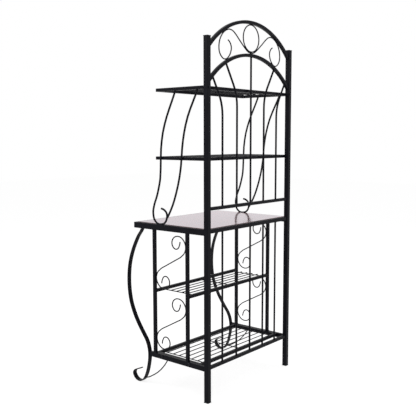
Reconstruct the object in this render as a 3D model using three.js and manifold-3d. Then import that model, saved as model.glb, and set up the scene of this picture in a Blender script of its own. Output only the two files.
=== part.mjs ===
// A free-standing bakers rack of black powder-coated steel: two square posts carry an arched back with
// fanned bars, two wire shelves stand over a lacquered worktop, and two more hang below it.
// Millimetres, +X to the rack's right-hand side seen from behind, -Y to the front, +Z up.
// While the pieces are placed, the origin is on the floor midway between the posts, in the middle of their
// depth. The last lines move the finished rack so that it is centred over the origin.
import * as THREE from "three";
import { mergeVertices } from "three/addons/utils/BufferGeometryUtils.js";
import Module from "manifold-3d";

const wasm = await Module();
wasm.setup();

// Gaps between pieces that touch, and how far a cutting block runs past what it cuts.
const weldGap = 0.3;
const ringGap = 0.7;
const overrun = 40;

// Corners closer than this are one corner.
const sameCorner = 0.0003;

// Steel sections.
const postSize = 25;
const postWall = 1.2;
const tubeSize = 16;
const tubeWall = 1.2;
const worktopRailHeight = 30;
const backRailHeight = 20;
const bottomRailHeight = 25;
const rodDiameter = 10;
const scrollWireDiameter = 6;
const shelfWireDiameter = 5;
const legWidth = 25;
const legThickness = 5;

// Plan: distances from the plane through the middle of the posts, towards the front.
const postSpacing = 690;
const worktopReach = 490;
const topShelfReach = 320;
const midShelfReach = 341;
const frontTubeReach = 350;
const rearTubeReach = 127;
const bottomShelfReach = 356;
const bottomShelfDepth = 304;

// Heights, stacked from the floor: each is the clear distance above the piece below it.
const bottomShelfTop = 179;
const lowerBay = 318;
const worktopBay = 308;
const crossRailRise = 90;
const midShelfRise = 325.5;
const topShelfRise = 318.5;
const archFoot = 25;
const archSpacing = 161;
const archRise = 142;
const postRise = 228;

// Worktop board.
const boardThickness = 12;
const boardProud = 2;
const ledgeWidth = 12;
const ledgeThickness = 2;

// Back bars: their bend below the inner arch.
const bendDrop = 186;
const bendRadius = 200;
const bendAngle = THREE.MathUtils.degToRad(31);
const barCount = 5;

// How far round the crest's ring the wire under it follows it, on either side.
const hugAngle = THREE.MathUtils.degToRad(40);

// Wire shelves.
const wirePitch = 40;
const crossWireInset = 52;
const wireEndOverhang = 8;
const crossWireDrop = 4.5;

// Side scrolls.
const scrollHeight = 279;
const scrollShelfGap = 7;

// Caps, sleeves and bolts.
const capOverhang = 1;
const capThickness = 4;
const footThickness = 3;
const plugDepth = 14;
const plugClearance = 0.3;
const sleeveLength = 80;
const sleeveWall = 1.5;
const boltDiameter = 6;
const boltHeadDiameter = 12;
const boltHeadHeight = 3.5;
const boltTipReach = 9;
const boltClearance = 0.3;
const bottomBoltInset = 60;

// How finely round things are divided.
const rodSides = 8;
const wireSides = 6;
const boltSides = 16;
const boltCrownSteps = 4;
const archSteps = 28;
const barSteps = 18;
const ringSteps = 40;
const legSteps = 72;
const legSamples = 288;
const bowSteps = 44;
const sideScrollSteps = 60;
const crestSteps = 92;
const braceSteps = 12;

// Worked-out levels and planes.
const halfSpacing = postSpacing / 2;
const innerFace = halfSpacing - postSize / 2;
const postFront = -postSize / 2;
const tubeHalf = tubeSize / 2;
const rodRadius = rodDiameter / 2;
const scrollWireRadius = scrollWireDiameter / 2;
const lowerShelfUnder = bottomShelfTop + lowerBay;
const lowerShelfTop = lowerShelfUnder + tubeSize;
const worktopUnder = lowerShelfTop + worktopBay;
const worktopTop = worktopUnder + worktopRailHeight;
const backRailUnder = worktopTop - backRailHeight;
const crossRailUnder = worktopTop + crossRailRise;
const crossRailTop = crossRailUnder + tubeSize;
const midShelfUnder = worktopTop + midShelfRise;
const midShelfTop = midShelfUnder + tubeSize;
const topShelfUnder = midShelfTop + topShelfRise;
const topShelfTop = topShelfUnder + tubeSize;
const postTop = topShelfTop + postRise;
const innerSpring = topShelfTop + archFoot;
const outerSpring = innerSpring + archSpacing;
const archRadius = (innerFace ** 2 + archRise ** 2) / (2 * archRise);
const barSpacing = postSpacing / (barCount + 1);
const bottomRailUnder = bottomShelfTop - bottomRailHeight;
const bottomShelfHalf = halfSpacing - tubeHalf - weldGap;
const midShelfHalf = halfSpacing - rodRadius - weldGap;
const topShelfHalf = halfSpacing + postSize / 2;

// Finishes.
const powderCoat = { color: 0x1a1a1e, roughness: 0.42, metalness: 0.3 };
const blackPlastic = { color: 0x151517, roughness: 0.5, metalness: 0 };
const blackBolt = { color: 0x1f1f23, roughness: 0.35, metalness: 0.8 };
const lacqueredWood = { color: 0x6a3a2a, roughness: 0.12, metalness: 0 };

const rack = new THREE.Group();

function add(name, geometry, finish) {
  const mesh = new THREE.Mesh(geometry, new THREE.MeshStandardMaterial(finish));
  mesh.name = name;
  rack.add(mesh);
  return mesh;
}

// Calls make(side, name) for the right and the left of the rack, with side 1 and -1.
function eachSide(make) {
  make(1, "right");
  make(-1, "left");
}

// Geometry to solid and back.
function solid(geometry) {
  const bare = geometry.index ? geometry.toNonIndexed() : geometry.clone();
  bare.deleteAttribute("normal");
  bare.deleteAttribute("uv");
  const merged = mergeVertices(bare, sameCorner);
  return new wasm.Manifold(
    new wasm.Mesh({
      numProp: 3,
      vertProperties: merged.attributes.position.array,
      triVerts: new Uint32Array(merged.index.array),
    }),
  );
}

function geometryOf(body) {
  const mesh = body.getMesh();
  const geometry = new THREE.BufferGeometry();
  geometry.setAttribute("position", new THREE.BufferAttribute(mesh.vertProperties, 3));
  geometry.setIndex(new THREE.BufferAttribute(mesh.triVerts, 1));
  geometry.computeVertexNormals();
  return geometry;
}

// Block between two corners.
function block(low, high) {
  const size = high.map((value, i) => value - low[i]);
  const middle = high.map((value, i) => (value + low[i]) / 2);
  return new THREE.BoxGeometry(...size).translate(...middle);
}

function rectangle(width, height) {
  const shape = new THREE.Shape();
  shape.moveTo(-width / 2, -height / 2);
  shape.lineTo(width / 2, -height / 2);
  shape.lineTo(width / 2, height / 2);
  shape.lineTo(-width / 2, height / 2);
  shape.closePath();
  return shape;
}

function tubeSection(width, height, wall) {
  const shape = rectangle(width, height);
  shape.holes.push(rectangle(width - 2 * wall, height - 2 * wall));
  return shape;
}

function roundSection(diameter, sides) {
  const corners = Array.from({ length: sides }, (_, i) => {
    const angle = (2 * Math.PI * (i + 1 / 2)) / sides;
    return new THREE.Vector2(Math.cos(angle), Math.sin(angle)).multiplyScalar(diameter / 2);
  });
  return new THREE.Shape(corners);
}

function sweep(section, path, steps) {
  return new THREE.ExtrudeGeometry(section, { steps, extrudePath: path, bevelEnabled: false });
}

// Straight pieces: the section is drawn across the piece, then run from one end to the other.
function uprightPiece(section, x, y, bottom, top) {
  const geometry = new THREE.ExtrudeGeometry(section, { depth: top - bottom, bevelEnabled: false });
  return geometry.translate(x, y, bottom);
}

function crosswisePiece(section, left, right, y, z) {
  const geometry = new THREE.ExtrudeGeometry(section, { depth: right - left, bevelEnabled: false });
  return geometry.rotateX(Math.PI / 2).rotateZ(Math.PI / 2).translate(left, y, z);
}

function lengthwisePiece(section, x, front, back, z) {
  const geometry = new THREE.ExtrudeGeometry(section, { depth: back - front, bevelEnabled: false });
  return geometry.rotateX(Math.PI / 2).translate(x, back, z);
}

function cut(geometry, ...tools) {
  return geometryOf(tools.reduce((body, tool) => body.subtract(solid(tool)), solid(geometry)));
}

function join(geometry, ...others) {
  return geometryOf(others.reduce((body, other) => body.add(solid(other)), solid(geometry)));
}

// Blocks that trim everything above or below a level in one side plane.
function above(level, x) {
  return block(
    [x - overrun, -2 * worktopReach, level],
    [x + overrun, overrun, level + 2 * overrun],
  );
}

function below(level, x) {
  return block(
    [x - overrun, -2 * worktopReach, level - 2 * overrun],
    [x + overrun, overrun, level],
  );
}

// Smooth path through points given as [forward, up] in a side plane.
function sidePath(x, points) {
  const placed = points.map(([forward, up]) => new THREE.Vector3(x, -forward, up));
  return new THREE.CatmullRomCurve3(placed, false, "centripetal");
}

// Back arches: circular arcs between the posts' inner faces.
class Arch extends THREE.Curve {
  constructor(spring) {
    super();
    this.centre = spring + archRise - archRadius;
    this.half = Math.asin((innerFace + tubeHalf) / archRadius);
  }

  getPoint(share, target = new THREE.Vector3()) {
    const angle = this.half * (2 * share - 1);
    return target.set(
      archRadius * Math.sin(angle),
      0,
      this.centre + archRadius * Math.cos(angle),
    );
  }

  heightAt(x) {
    return this.centre + Math.sqrt(archRadius ** 2 - x ** 2);
  }

  leanAt(x) {
    return Math.asin(x / archRadius);
  }
}

const innerArch = new Arch(innerSpring);
const outerArch = new Arch(outerSpring);

// The outside of an arch with the weld gap round it, for cutting what meets it.
function archCutter(arch) {
  const size = tubeSize + 2 * weldGap;
  return sweep(rectangle(size, size), arch, archSteps);
}

function buildArches() {
  const postFaces = [1, -1].map((side) => {
    const near = side * (innerFace - weldGap);
    const far = side * (innerFace + overrun);
    return block(
      [Math.min(near, far), -overrun, worktopTop],
      [Math.max(near, far), overrun, postTop + archRise],
    );
  });
  const section = tubeSection(tubeSize, tubeSize, tubeWall);
  add("inner_arch", cut(sweep(section, innerArch, archSteps), ...postFaces), powderCoat);
  add("outer_arch", cut(sweep(section, outerArch, archSteps), ...postFaces), powderCoat);
}

// A back bar: upright, one bend outwards, then straight until it meets the inner arch.
class FannedBar extends THREE.Curve {
  constructor(x) {
    super();
    this.x = x;
    this.side = Math.sign(x);
    this.bottom = crossRailTop + weldGap;
    const knee = innerArch.heightAt(x) - bendDrop;
    const tangent = bendRadius * Math.tan(bendAngle / 2);
    this.straight = knee - tangent - this.bottom;
    this.arc = bendRadius * bendAngle;
    const start = new THREE.Vector2(Math.abs(x), knee);
    const way = new THREE.Vector2(Math.sin(bendAngle), Math.cos(bendAngle));
    const offset = start.clone().sub(new THREE.Vector2(0, innerArch.centre));
    const along = offset.dot(way);
    const reach = Math.sqrt(along ** 2 - offset.lengthSq() + archRadius ** 2) - along;
    this.lean = reach - tangent;
  }

  getPoint(share, target = new THREE.Vector3()) {
    const run = share * (this.straight + this.arc + this.lean);
    if (run <= this.straight) return target.set(this.x, 0, this.bottom + run);
    const turned = Math.min((run - this.straight) / bendRadius, bendAngle);
    const rest = Math.max(run - this.straight - this.arc, 0);
    const out = bendRadius * (1 - Math.cos(turned)) + rest * Math.sin(turned);
    const up = bendRadius * Math.sin(turned) + rest * Math.cos(turned);
    return target.set(this.x + this.side * out, 0, this.bottom + this.straight + up);
  }
}

function buildUpperBars() {
  const section = roundSection(rodDiameter, rodSides);
  const cutter = archCutter(innerArch);
  for (let i = 0; i < barCount; i += 1) {
    const x = halfSpacing - barSpacing * (i + 1);
    const middle = Math.abs(x) < barSpacing / 2;
    const bar = middle
      ? uprightPiece(section, 0, 0, crossRailTop + weldGap, innerArch.heightAt(0))
      : sweep(section, new FannedBar(x), barSteps);
    add(`upper_bar_${i + 1}`, cut(bar, cutter), powderCoat);
  }
}

function buildLowerBars() {
  const section = roundSection(rodDiameter, rodSides);
  for (let i = 0; i < barCount; i += 1) {
    const x = halfSpacing - barSpacing * (i + 1);
    const bar = uprightPiece(section, x, 0, bottomShelfTop + weldGap, backRailUnder - weldGap);
    add(`lower_bar_${i + 1}`, bar, powderCoat);
  }
}

// Crest between the arches: a ring, and one wire bent to a scroll at each end that runs under the ring.
const crestWireCentre = innerSpring + archRise + tubeHalf + weldGap + scrollWireRadius;
const ringLow = crestWireCentre + scrollWireDiameter + ringGap;
const ringHigh = outerSpring + archRise - tubeHalf - weldGap - scrollWireRadius;

// Right half of the wire: across as a share of the half width between the posts, and up as a share of
// the way from resting on the inner arch to touching the outer one.
const crestShares = [
  [0.23, 0.33],
  [0.307, 0.51],
  [0.385, 0.71],
  [0.46, 0.87],
  [0.535, 0.965],
  [0.6, 0.995],
  [0.66, 0.99],
  [0.72, 0.93],
  [0.762, 0.8],
  [0.775, 0.63],
  [0.762, 0.42],
  [0.72, 0.22],
  [0.66, 0.06],
  [0.6, 0.005],
  [0.545, 0.04],
  [0.502, 0.15],
  [0.488, 0.31],
  [0.51, 0.46],
  [0.565, 0.62],
];

function crestPoint([across, up], side) {
  const x = across * innerFace;
  const offset = tubeHalf + weldGap + scrollWireRadius;
  const low = innerArch.heightAt(x) + offset / Math.cos(innerArch.leanAt(x));
  const high = outerArch.heightAt(x) - offset / Math.cos(outerArch.leanAt(x));
  return new THREE.Vector3(side * x, 0, low + up * (high - low));
}

function buildCrest() {
  const ringRadius = (ringHigh - ringLow) / 2;
  const ring = new THREE.TorusGeometry(ringRadius, scrollWireRadius, wireSides, ringSteps);
  add("crest_ring", ring.rotateX(Math.PI / 2).translate(0, 0, ringLow + ringRadius), powderCoat);

  const underRing = ringRadius + scrollWireDiameter + ringGap;
  const hugAngles = [-2, -1, 0, 1, 2].map((step) => (step * hugAngle) / 2);
  const hug = hugAngles.map((angle) => new THREE.Vector3(
    underRing * Math.sin(angle),
    0,
    ringLow + ringRadius - underRing * Math.cos(angle),
  ));
  const right = crestShares.map((shares) => crestPoint(shares, 1));
  const left = crestShares.map((shares) => crestPoint(shares, -1)).reverse();
  const path = new THREE.CatmullRomCurve3([...left, ...hug, ...right], false, "centripetal");
  add("crest_scroll", sweep(roundSection(scrollWireDiameter, wireSides), path, crestSteps), powderCoat);
}

// Posts in two lengths, joined over a sleeve at the worktop, with plastic caps and feet.
function squarePlug(x, low, high) {
  const plug = postSize / 2 - postWall - plugClearance;
  return block([x - plug, -plug, low], [x + plug, plug, high]);
}

function capPlate(x, low, high) {
  const half = postSize / 2 + capOverhang;
  return block([x - half, -half, low], [x + half, half, high]);
}

function buildPosts() {
  const section = tubeSection(postSize, postSize, postWall);
  const plateUnder = postTop - capThickness;
  const holeSection = roundSection(boltDiameter + 2 * boltClearance, boltSides);
  eachSide((side, name) => {
    const x = side * halfSpacing;
    const lower = uprightPiece(section, x, 0, footThickness + weldGap, worktopTop - weldGap / 2);
    const upper = uprightPiece(section, x, 0, worktopTop + weldGap / 2, plateUnder - weldGap);
    const hole = lengthwisePiece(holeSection, x, -postSize, postSize, topShelfUnder + tubeHalf);
    add(`lower_post_${name}`, lower, powderCoat);
    add(`upper_post_${name}`, cut(upper, hole), powderCoat);

    const foot = join(capPlate(x, 0, footThickness), squarePlug(x, footThickness / 2, plugDepth));
    const cap = join(
      capPlate(x, plateUnder, postTop),
      squarePlug(x, plateUnder - plugDepth, plateUnder + capThickness / 2),
    );
    add(`post_foot_${name}`, foot, blackPlastic);
    add(`post_cap_${name}`, cap, blackPlastic);

    const sleeveSize = postSize - 2 * (postWall + plugClearance);
    const sleeveSection = tubeSection(sleeveSize, sleeveSize, sleeveWall);
    const low = worktopTop - sleeveLength / 2;
    const sleeve = uprightPiece(sleeveSection, x, 0, low, low + sleeveLength);
    add(`post_sleeve_${name}`, sleeve, powderCoat);
  });
}

// Rails of the back frame, between the posts.
function buildBackRails() {
  const square = tubeSection(tubeSize, tubeSize, tubeWall);
  const tall = tubeSection(tubeSize, backRailHeight, tubeWall);
  const right = innerFace - weldGap;
  const tallMiddle = backRailUnder + backRailHeight / 2;
  add("cross_rail", crosswisePiece(square, -right, right, 0, crossRailUnder + tubeHalf), powderCoat);
  add("worktop_back_rail", crosswisePiece(tall, -right, right, 0, tallMiddle), powderCoat);
  add("bottom_back_rail", crosswisePiece(square, -right, right, 0, bottomShelfTop - tubeHalf), powderCoat);
}

// Worktop: a mitred frame of upright tube on three sides, and a board on ledges inside it.
// A mitre's cutting block, on the rear or the front side of a front corner's diagonal.
function mitreCutter(side, turn) {
  const size = 2 * overrun;
  return block([-size, -weldGap / 2, -size], [size, size, size])
    .rotateZ(turn - (side * Math.PI) / 4)
    .translate(side * (halfSpacing + tubeHalf), -worktopReach, worktopUnder);
}

function buildWorktop() {
  const tall = tubeSection(tubeSize, worktopRailHeight, tubeWall);
  const railMiddle = worktopUnder + worktopRailHeight / 2;
  const outer = halfSpacing + tubeHalf;
  const boardTop = worktopTop + boardProud;
  const boardUnder = boardTop - boardThickness;
  const frontRail = crosswisePiece(tall, -outer, outer, tubeHalf - worktopReach, railMiddle);
  add(
    "worktop_front_rail",
    cut(frontRail, mitreCutter(1, 0), mitreCutter(-1, 0)),
    powderCoat,
  );

  const boardHalf = halfSpacing - tubeHalf - weldGap;
  const boardFront = tubeSize + weldGap - worktopReach;
  const boardBack = -tubeHalf - weldGap;
  eachSide((side, name) => {
    const x = side * halfSpacing;
    const rail = lengthwisePiece(tall, x, -worktopReach, postFront - weldGap, railMiddle);
    const ledgeOuter = side * (halfSpacing - tubeHalf + tubeWall / 2);
    const ledgeInner = side * (halfSpacing - tubeHalf - ledgeWidth);
    const ledge = block(
      [Math.min(ledgeOuter, ledgeInner), boardFront, boardUnder - weldGap - ledgeThickness],
      [Math.max(ledgeOuter, ledgeInner), postFront - weldGap, boardUnder - weldGap],
    );
    add(
      `worktop_side_rail_${name}`,
      join(cut(rail, mitreCutter(side, Math.PI)), ledge),
      powderCoat,
    );
  });

  const notchX = innerFace - weldGap;
  const notchY = postFront - weldGap;
  const outline = new THREE.Shape([
    new THREE.Vector2(-boardHalf, boardFront),
    new THREE.Vector2(boardHalf, boardFront),
    new THREE.Vector2(boardHalf, notchY),
    new THREE.Vector2(notchX, notchY),
    new THREE.Vector2(notchX, boardBack),
    new THREE.Vector2(-notchX, boardBack),
    new THREE.Vector2(-notchX, notchY),
    new THREE.Vector2(-boardHalf, notchY),
  ]);
  add("worktop_board", uprightPiece(outline, 0, 0, boardUnder, boardTop), lacqueredWood);
}

// Front legs: flat bar, bulging forward under the worktop and rolled up into a foot.
// Forward as a share of the worktop's reach, up as a share of the height under the worktop.
const legShares = [
  [0.862, 1.0363],
  [0.8866, 1],
  [0.957, 0.9417],
  [1.007, 0.8879],
  [1.049, 0.8325],
  [1.078, 0.7787],
  [1.095, 0.7254],
  [1.102, 0.6716],
  [1.101, 0.6187],
  [1.0915, 0.5674],
  [1.0725, 0.5156],
  [1.041, 0.4665],
  [0.999, 0.4175],
  [0.948, 0.371],
  [0.889, 0.3245],
  [0.833, 0.2792],
  [0.8035, 0.2302],
  [0.7985, 0.1791],
  [0.8133, 0.1212],
  [0.8367, 0.073],
  [0.865, 0.0377],
  [0.9, 0.0126],
  [0.947, 0.003],
  [0.994, 0.0106],
  [1.0245, 0.028],
  [1.0347, 0.0458],
  [1.0204, 0.0629],
  [0.9796, 0.076],
  [0.9306, 0.0877],
];

function legPath(x) {
  return sidePath(x, legShares.map(([forward, up]) => [forward * worktopReach, up * worktopUnder]));
}

// How far forward a leg's middle line is at a height, on its way up from the foot.
function legForwardAt(height) {
  const points = legPath(0).getSpacedPoints(legSamples);
  const after = points.findIndex((point) => point.z < height);
  const upper = points[after - 1];
  const lower = points[after];
  const share = (upper.z - height) / (upper.z - lower.z);
  return -THREE.MathUtils.lerp(upper.y, lower.y, share);
}

function buildLegs() {
  eachSide((side, name) => {
    const x = side * halfSpacing;
    const bar = sweep(rectangle(legWidth, legThickness), legPath(x), legSteps);
    add(`front_leg_${name}`, cut(bar, above(worktopUnder - weldGap, x), below(0, x)), powderCoat);
  });
}

// Side frames: two upright tubes on a bottom rail that runs from the leg to the post.
const railLevels = [bottomRailUnder, bottomRailUnder + bottomRailHeight / 2, bottomShelfTop];
const bottomRailFront = Math.min(...railLevels.map(legForwardAt)) - legThickness / 2 - weldGap;

function buildSideFrames() {
  const tall = tubeSection(tubeSize, bottomRailHeight, tubeWall);
  const square = tubeSection(tubeSize, tubeSize, tubeWall);
  const holeSection = roundSection(boltDiameter + 2 * boltClearance, boltSides);
  const reaches = { front: frontTubeReach, rear: rearTubeReach };
  eachSide((side, name) => {
    const x = side * halfSpacing;
    const middle = bottomRailUnder + bottomRailHeight / 2;
    const rail = lengthwisePiece(tall, x, -bottomRailFront, postFront - weldGap, middle);
    const holes = bottomBoltPlaces().map((y) => crosswisePiece(
      holeSection,
      x - tubeSize,
      x + tubeSize,
      y,
      bottomShelfTop - tubeHalf,
    ));
    add(`bottom_side_rail_${name}`, cut(rail, ...holes), powderCoat);
    for (const [place, reach] of Object.entries(reaches)) {
      const tube = uprightPiece(square, x, -reach, bottomShelfTop + weldGap, worktopUnder - weldGap);
      add(`side_tube_${place}_${name}`, tube, powderCoat);
    }
  });
}

// Side scrolls: an S that is the same turned upside down, so half of its points are enough.
// Back to front as a share between the two upright tubes, up as a share of the scroll's height.
const scrollShares = [
  [0.185, 0.905],
  [0.205, 0.835],
  [0.265, 0.775],
  [0.345, 0.765],
  [0.42, 0.8],
  [0.455, 0.865],
  [0.425, 0.94],
  [0.35, 0.985],
  [0.255, 1],
  [0.14, 0.98],
  [0.045, 0.915],
  [0, 0.82],
  [0.03, 0.73],
  [0.15, 0.64],
  [0.32, 0.57],
];

function scrollPath(x, bottom) {
  const back = rearTubeReach + tubeHalf + weldGap + scrollWireRadius;
  const front = frontTubeReach - tubeHalf - weldGap - scrollWireRadius;
  const turned = scrollShares.map(([forward, up]) => [1 - forward, 1 - up]).reverse();
  const shares = [...scrollShares, [1 / 2, 1 / 2], ...turned];
  return sidePath(x, shares.map(([forward, up]) => [
    THREE.MathUtils.lerp(back, front, forward),
    bottom + up * scrollHeight,
  ]));
}

function buildSideScrolls() {
  const section = roundSection(scrollWireDiameter, wireSides);
  const offset = scrollShelfGap + scrollWireRadius;
  const bottoms = { upper: lowerShelfTop + offset, lower: lowerShelfUnder - offset - scrollHeight };
  eachSide((side, name) => {
    for (const [place, bottom] of Object.entries(bottoms)) {
      const path = scrollPath(side * halfSpacing, bottom);
      add(`side_scroll_${place}_${name}`, sweep(section, path, sideScrollSteps), powderCoat);
    }
  });
}

// Foot braces: from the back of each foot up to the underside of the bottom rail.
// Forward as a share of the worktop's reach, up as a share of the height under the rail.
const braceShares = [
  [0.8732, 0.165],
  [0.8175, 0.225],
  [0.7585, 0.329],
  [0.6975, 0.456],
  [0.6384, 0.617],
  [0.5816, 0.818],
  [0.54, 1.01],
  [0.528, 1.08],
];

function buildFootBraces() {
  const section = roundSection(scrollWireDiameter, wireSides);
  const clearLeg = rectangle(legWidth + 2 * weldGap, legThickness + 2 * weldGap);
  eachSide((side, name) => {
    const x = side * halfSpacing;
    const points = braceShares.map(([forward, up]) => [forward * worktopReach, up * bottomRailUnder]);
    const wire = sweep(section, sidePath(x, points), braceSteps);
    const legCutter = sweep(clearLeg, legPath(x), legSteps);
    add(
      `foot_brace_${name}`,
      cut(wire, legCutter, above(bottomRailUnder - weldGap, x)),
      powderCoat,
    );
  });
}

// Bow rods between the worktop and the top shelf. The front one rolls under into a curl, flattened
// where it sits on the worktop's rail, and the rear one runs down against that curl.
// Forward as a share of the worktop's reach, up as a share of the height from worktop to top shelf.
const frontBowShares = [
  [0.4, 1.02],
  [0.417, 0.988],
  [0.453, 0.93],
  [0.527, 0.815],
  [0.582, 0.697],
  [0.609, 0.577],
  [0.617, 0.427],
  [0.628, 0.336],
  [0.649, 0.273],
  [0.676, 0.211],
  [0.712, 0.148],
  [0.729, 0.086],
  [0.708, 0.03],
  [0.663, 0.0046],
  [0.618, 0.0027],
  [0.57, 0.0133],
  [0.538, 0.0475],
  [0.539, 0.0905],
  [0.573, 0.1145],
  [0.612, 0.1228],
];

const rearBowShares = [
  [0.11, 1.02],
  [0.143, 0.965],
  [0.173, 0.923],
  [0.2465, 0.8115],
  [0.295, 0.695],
  [0.322, 0.58],
  [0.337, 0.462],
  [0.35, 0.403],
  [0.367, 0.344],
  [0.39, 0.283],
  [0.417, 0.223],
  [0.451, 0.16],
  [0.495, 0.098],
  [0.529, 0.057],
];

function bowPath(x, table) {
  const height = topShelfUnder - worktopTop;
  return sidePath(x, table.map(([forward, up]) => [
    forward * worktopReach,
    worktopTop + up * height,
  ]));
}

function buildBowRods() {
  const section = roundSection(rodDiameter, rodSides);
  const clearSection = roundSection(rodDiameter + 2 * weldGap, rodSides);
  eachSide((side, name) => {
    const x = side * halfSpacing;
    const ceiling = above(topShelfUnder - weldGap, x);
    const floor = below(worktopTop + weldGap, x);
    const frontPath = bowPath(x, frontBowShares);
    const front = sweep(section, frontPath, bowSteps);
    const rear = sweep(section, bowPath(x, rearBowShares), bowSteps);
    const curlCutter = sweep(clearSection, frontPath, bowSteps);
    add(`bow_rod_front_${name}`, cut(front, ceiling, floor), powderCoat);
    add(`bow_rod_rear_${name}`, cut(rear, ceiling, curlCutter), powderCoat);
  });
}

// Wire shelves: long wires lie on cross wires, whose ends are welded to the rails.
function shelfWires(front, back, railInnerFront, railInnerBack, top) {
  const section = roundSection(shelfWireDiameter, rodSides);
  const bays = Math.round((back - front) / wirePitch);
  const longZ = top - shelfWireDiameter / 2;
  const crossZ = longZ - crossWireDrop;
  const endCross = halfSpacing - crossWireInset;
  const longHalf = endCross + wireEndOverhang;
  const weldDepth = tubeWall / 2;
  const crosses = [-endCross, 0, endCross].map((x) => lengthwisePiece(
    section,
    x,
    railInnerFront - weldDepth,
    railInnerBack + weldDepth,
    crossZ,
  ));
  const longs = Array.from({ length: bays - 1 }, (_, i) => crosswisePiece(
    section,
    -longHalf,
    longHalf,
    front + ((i + 1) * (back - front)) / bays,
    longZ,
  ));
  return [...crosses, ...longs];
}

// A shelf in a closed frame of square tube, drilled where its bolts enter.
function framedShelf(half, front, back, top, holes) {
  const frameBlock = (inset, low, high) => block(
    [-half + inset, front + inset, low],
    [half - inset, back - inset, high],
  );
  const under = top - tubeSize;
  const ring = solid(frameBlock(0, under, top))
    .subtract(solid(frameBlock(tubeSize, under - overrun, top + overrun)));
  const hollow = solid(frameBlock(tubeWall, under + tubeWall, top - tubeWall))
    .subtract(solid(frameBlock(tubeSize - tubeWall, under - overrun, top + overrun)));
  const frame = geometryOf(ring.subtract(hollow));
  const wires = shelfWires(
    front + tubeHalf,
    back - tubeHalf,
    front + tubeSize,
    back - tubeSize,
    top,
  );
  return cut(join(frame, ...wires), ...holes);
}

function bottomBoltPlaces() {
  const front = -bottomShelfReach;
  return [front + bottomBoltInset, front + bottomShelfDepth - bottomBoltInset];
}

function buildShelves() {
  const holeSection = roundSection(boltDiameter + 2 * boltClearance, boltSides);
  const shelfBack = postFront - weldGap;
  const topHoles = [-halfSpacing, halfSpacing].map((x) => lengthwisePiece(
    holeSection,
    x,
    shelfBack - boltTipReach - tubeWall,
    shelfBack + overrun,
    topShelfUnder + tubeHalf,
  ));
  add(
    "top_shelf",
    framedShelf(topShelfHalf, -topShelfReach, shelfBack, topShelfTop, topHoles),
    powderCoat,
  );

  const ventHole = uprightPiece(
    holeSection,
    0,
    tubeHalf - midShelfReach,
    midShelfUnder - overrun,
    midShelfUnder + tubeHalf,
  );
  add(
    "mid_shelf",
    framedShelf(midShelfHalf, -midShelfReach, shelfBack, midShelfTop, [ventHole]),
    powderCoat,
  );

  const bottomBack = bottomShelfDepth - bottomShelfReach;
  const bottomHoles = bottomBoltPlaces().flatMap((y) => [1, -1].map((side) => crosswisePiece(
    holeSection,
    side * bottomShelfHalf - boltTipReach - tubeWall,
    side * bottomShelfHalf + boltTipReach + tubeWall,
    y,
    bottomShelfTop - tubeHalf,
  )));
  add(
    "bottom_shelf",
    framedShelf(bottomShelfHalf, -bottomShelfReach, bottomBack, bottomShelfTop, bottomHoles),
    powderCoat,
  );

  const square = tubeSection(tubeSize, tubeSize, tubeWall);
  const railEnd = halfSpacing - tubeHalf - weldGap;
  const railMiddle = lowerShelfUnder + tubeHalf;
  const rails = [-frontTubeReach, -rearTubeReach].map((y) => crosswisePiece(
    square,
    -railEnd,
    railEnd,
    y,
    railMiddle,
  ));
  const wires = shelfWires(
    -frontTubeReach,
    -rearTubeReach,
    -frontTubeReach + tubeHalf,
    -rearTubeReach - tubeHalf,
    lowerShelfTop,
  );
  add("lower_shelf", join(rails[0], rails[1], ...wires), powderCoat);
}

// A pan-head bolt along +Z, its head's underside at the origin and its shank below.
function panBolt(shankLength) {
  const profile = new THREE.Path();
  const headRadius = boltHeadDiameter / 2;
  profile.moveTo(0, -shankLength);
  profile.lineTo(boltDiameter / 2, -shankLength);
  profile.lineTo(boltDiameter / 2, 0);
  profile.lineTo(headRadius, 0);
  profile.quadraticCurveTo(headRadius, boltHeadHeight, 0, boltHeadHeight);
  return new THREE.LatheGeometry(profile.getPoints(boltCrownSteps), boltSides).rotateX(Math.PI / 2);
}

function buildBolts() {
  eachSide((side, name) => {
    const postShank = postSize + 2 * weldGap + boltTipReach;
    const postBolt = panBolt(postShank)
      .rotateX(-Math.PI / 2)
      .translate(side * halfSpacing, postSize / 2 + weldGap, topShelfUnder + tubeHalf);
    add(`top_shelf_bolt_${name}`, postBolt, blackBolt);

    const places = { front: bottomBoltPlaces()[0], rear: bottomBoltPlaces()[1] };
    const sideShank = tubeSize + 2 * weldGap + boltTipReach;
    for (const [place, y] of Object.entries(places)) {
      const bolt = panBolt(sideShank)
        .rotateY((side * Math.PI) / 2)
        .translate(side * (halfSpacing + tubeHalf + weldGap), y, bottomShelfTop - tubeHalf);
      add(`bottom_shelf_bolt_${place}_${name}`, bolt, blackBolt);
    }
  });
}

buildPosts();
buildBackRails();
buildArches();
buildCrest();
buildUpperBars();
buildLowerBars();
buildWorktop();
buildLegs();
buildSideFrames();
buildSideScrolls();
buildFootBraces();
buildBowRods();
buildShelves();
buildBolts();

// The finished rack stands on the origin: the floor under the middle of its bounding box.
const extent = new THREE.Box3().setFromObject(rack);
rack.position.set(0, -extent.getCenter(new THREE.Vector3()).y, -extent.min.z);

export default rack;
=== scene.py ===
"""Looks of a black powder-coated steel bakers rack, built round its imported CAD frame.

Metres, +Z up, the rack's front towards -Y. Each sub-assembly is a class that models its pieces
with Blender's own operators and dresses them; main() builds them in order. What repeats is
modelled once, on the right side or at the bottom, and copied.
"""

import cmath
import logging
import math
from contextlib import contextmanager
from dataclasses import dataclass, field
from enum import Enum
from typing import Any, Callable, Iterable, Iterator, Sequence

import bmesh
import bpy
from mathutils import Matrix, Vector


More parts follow.
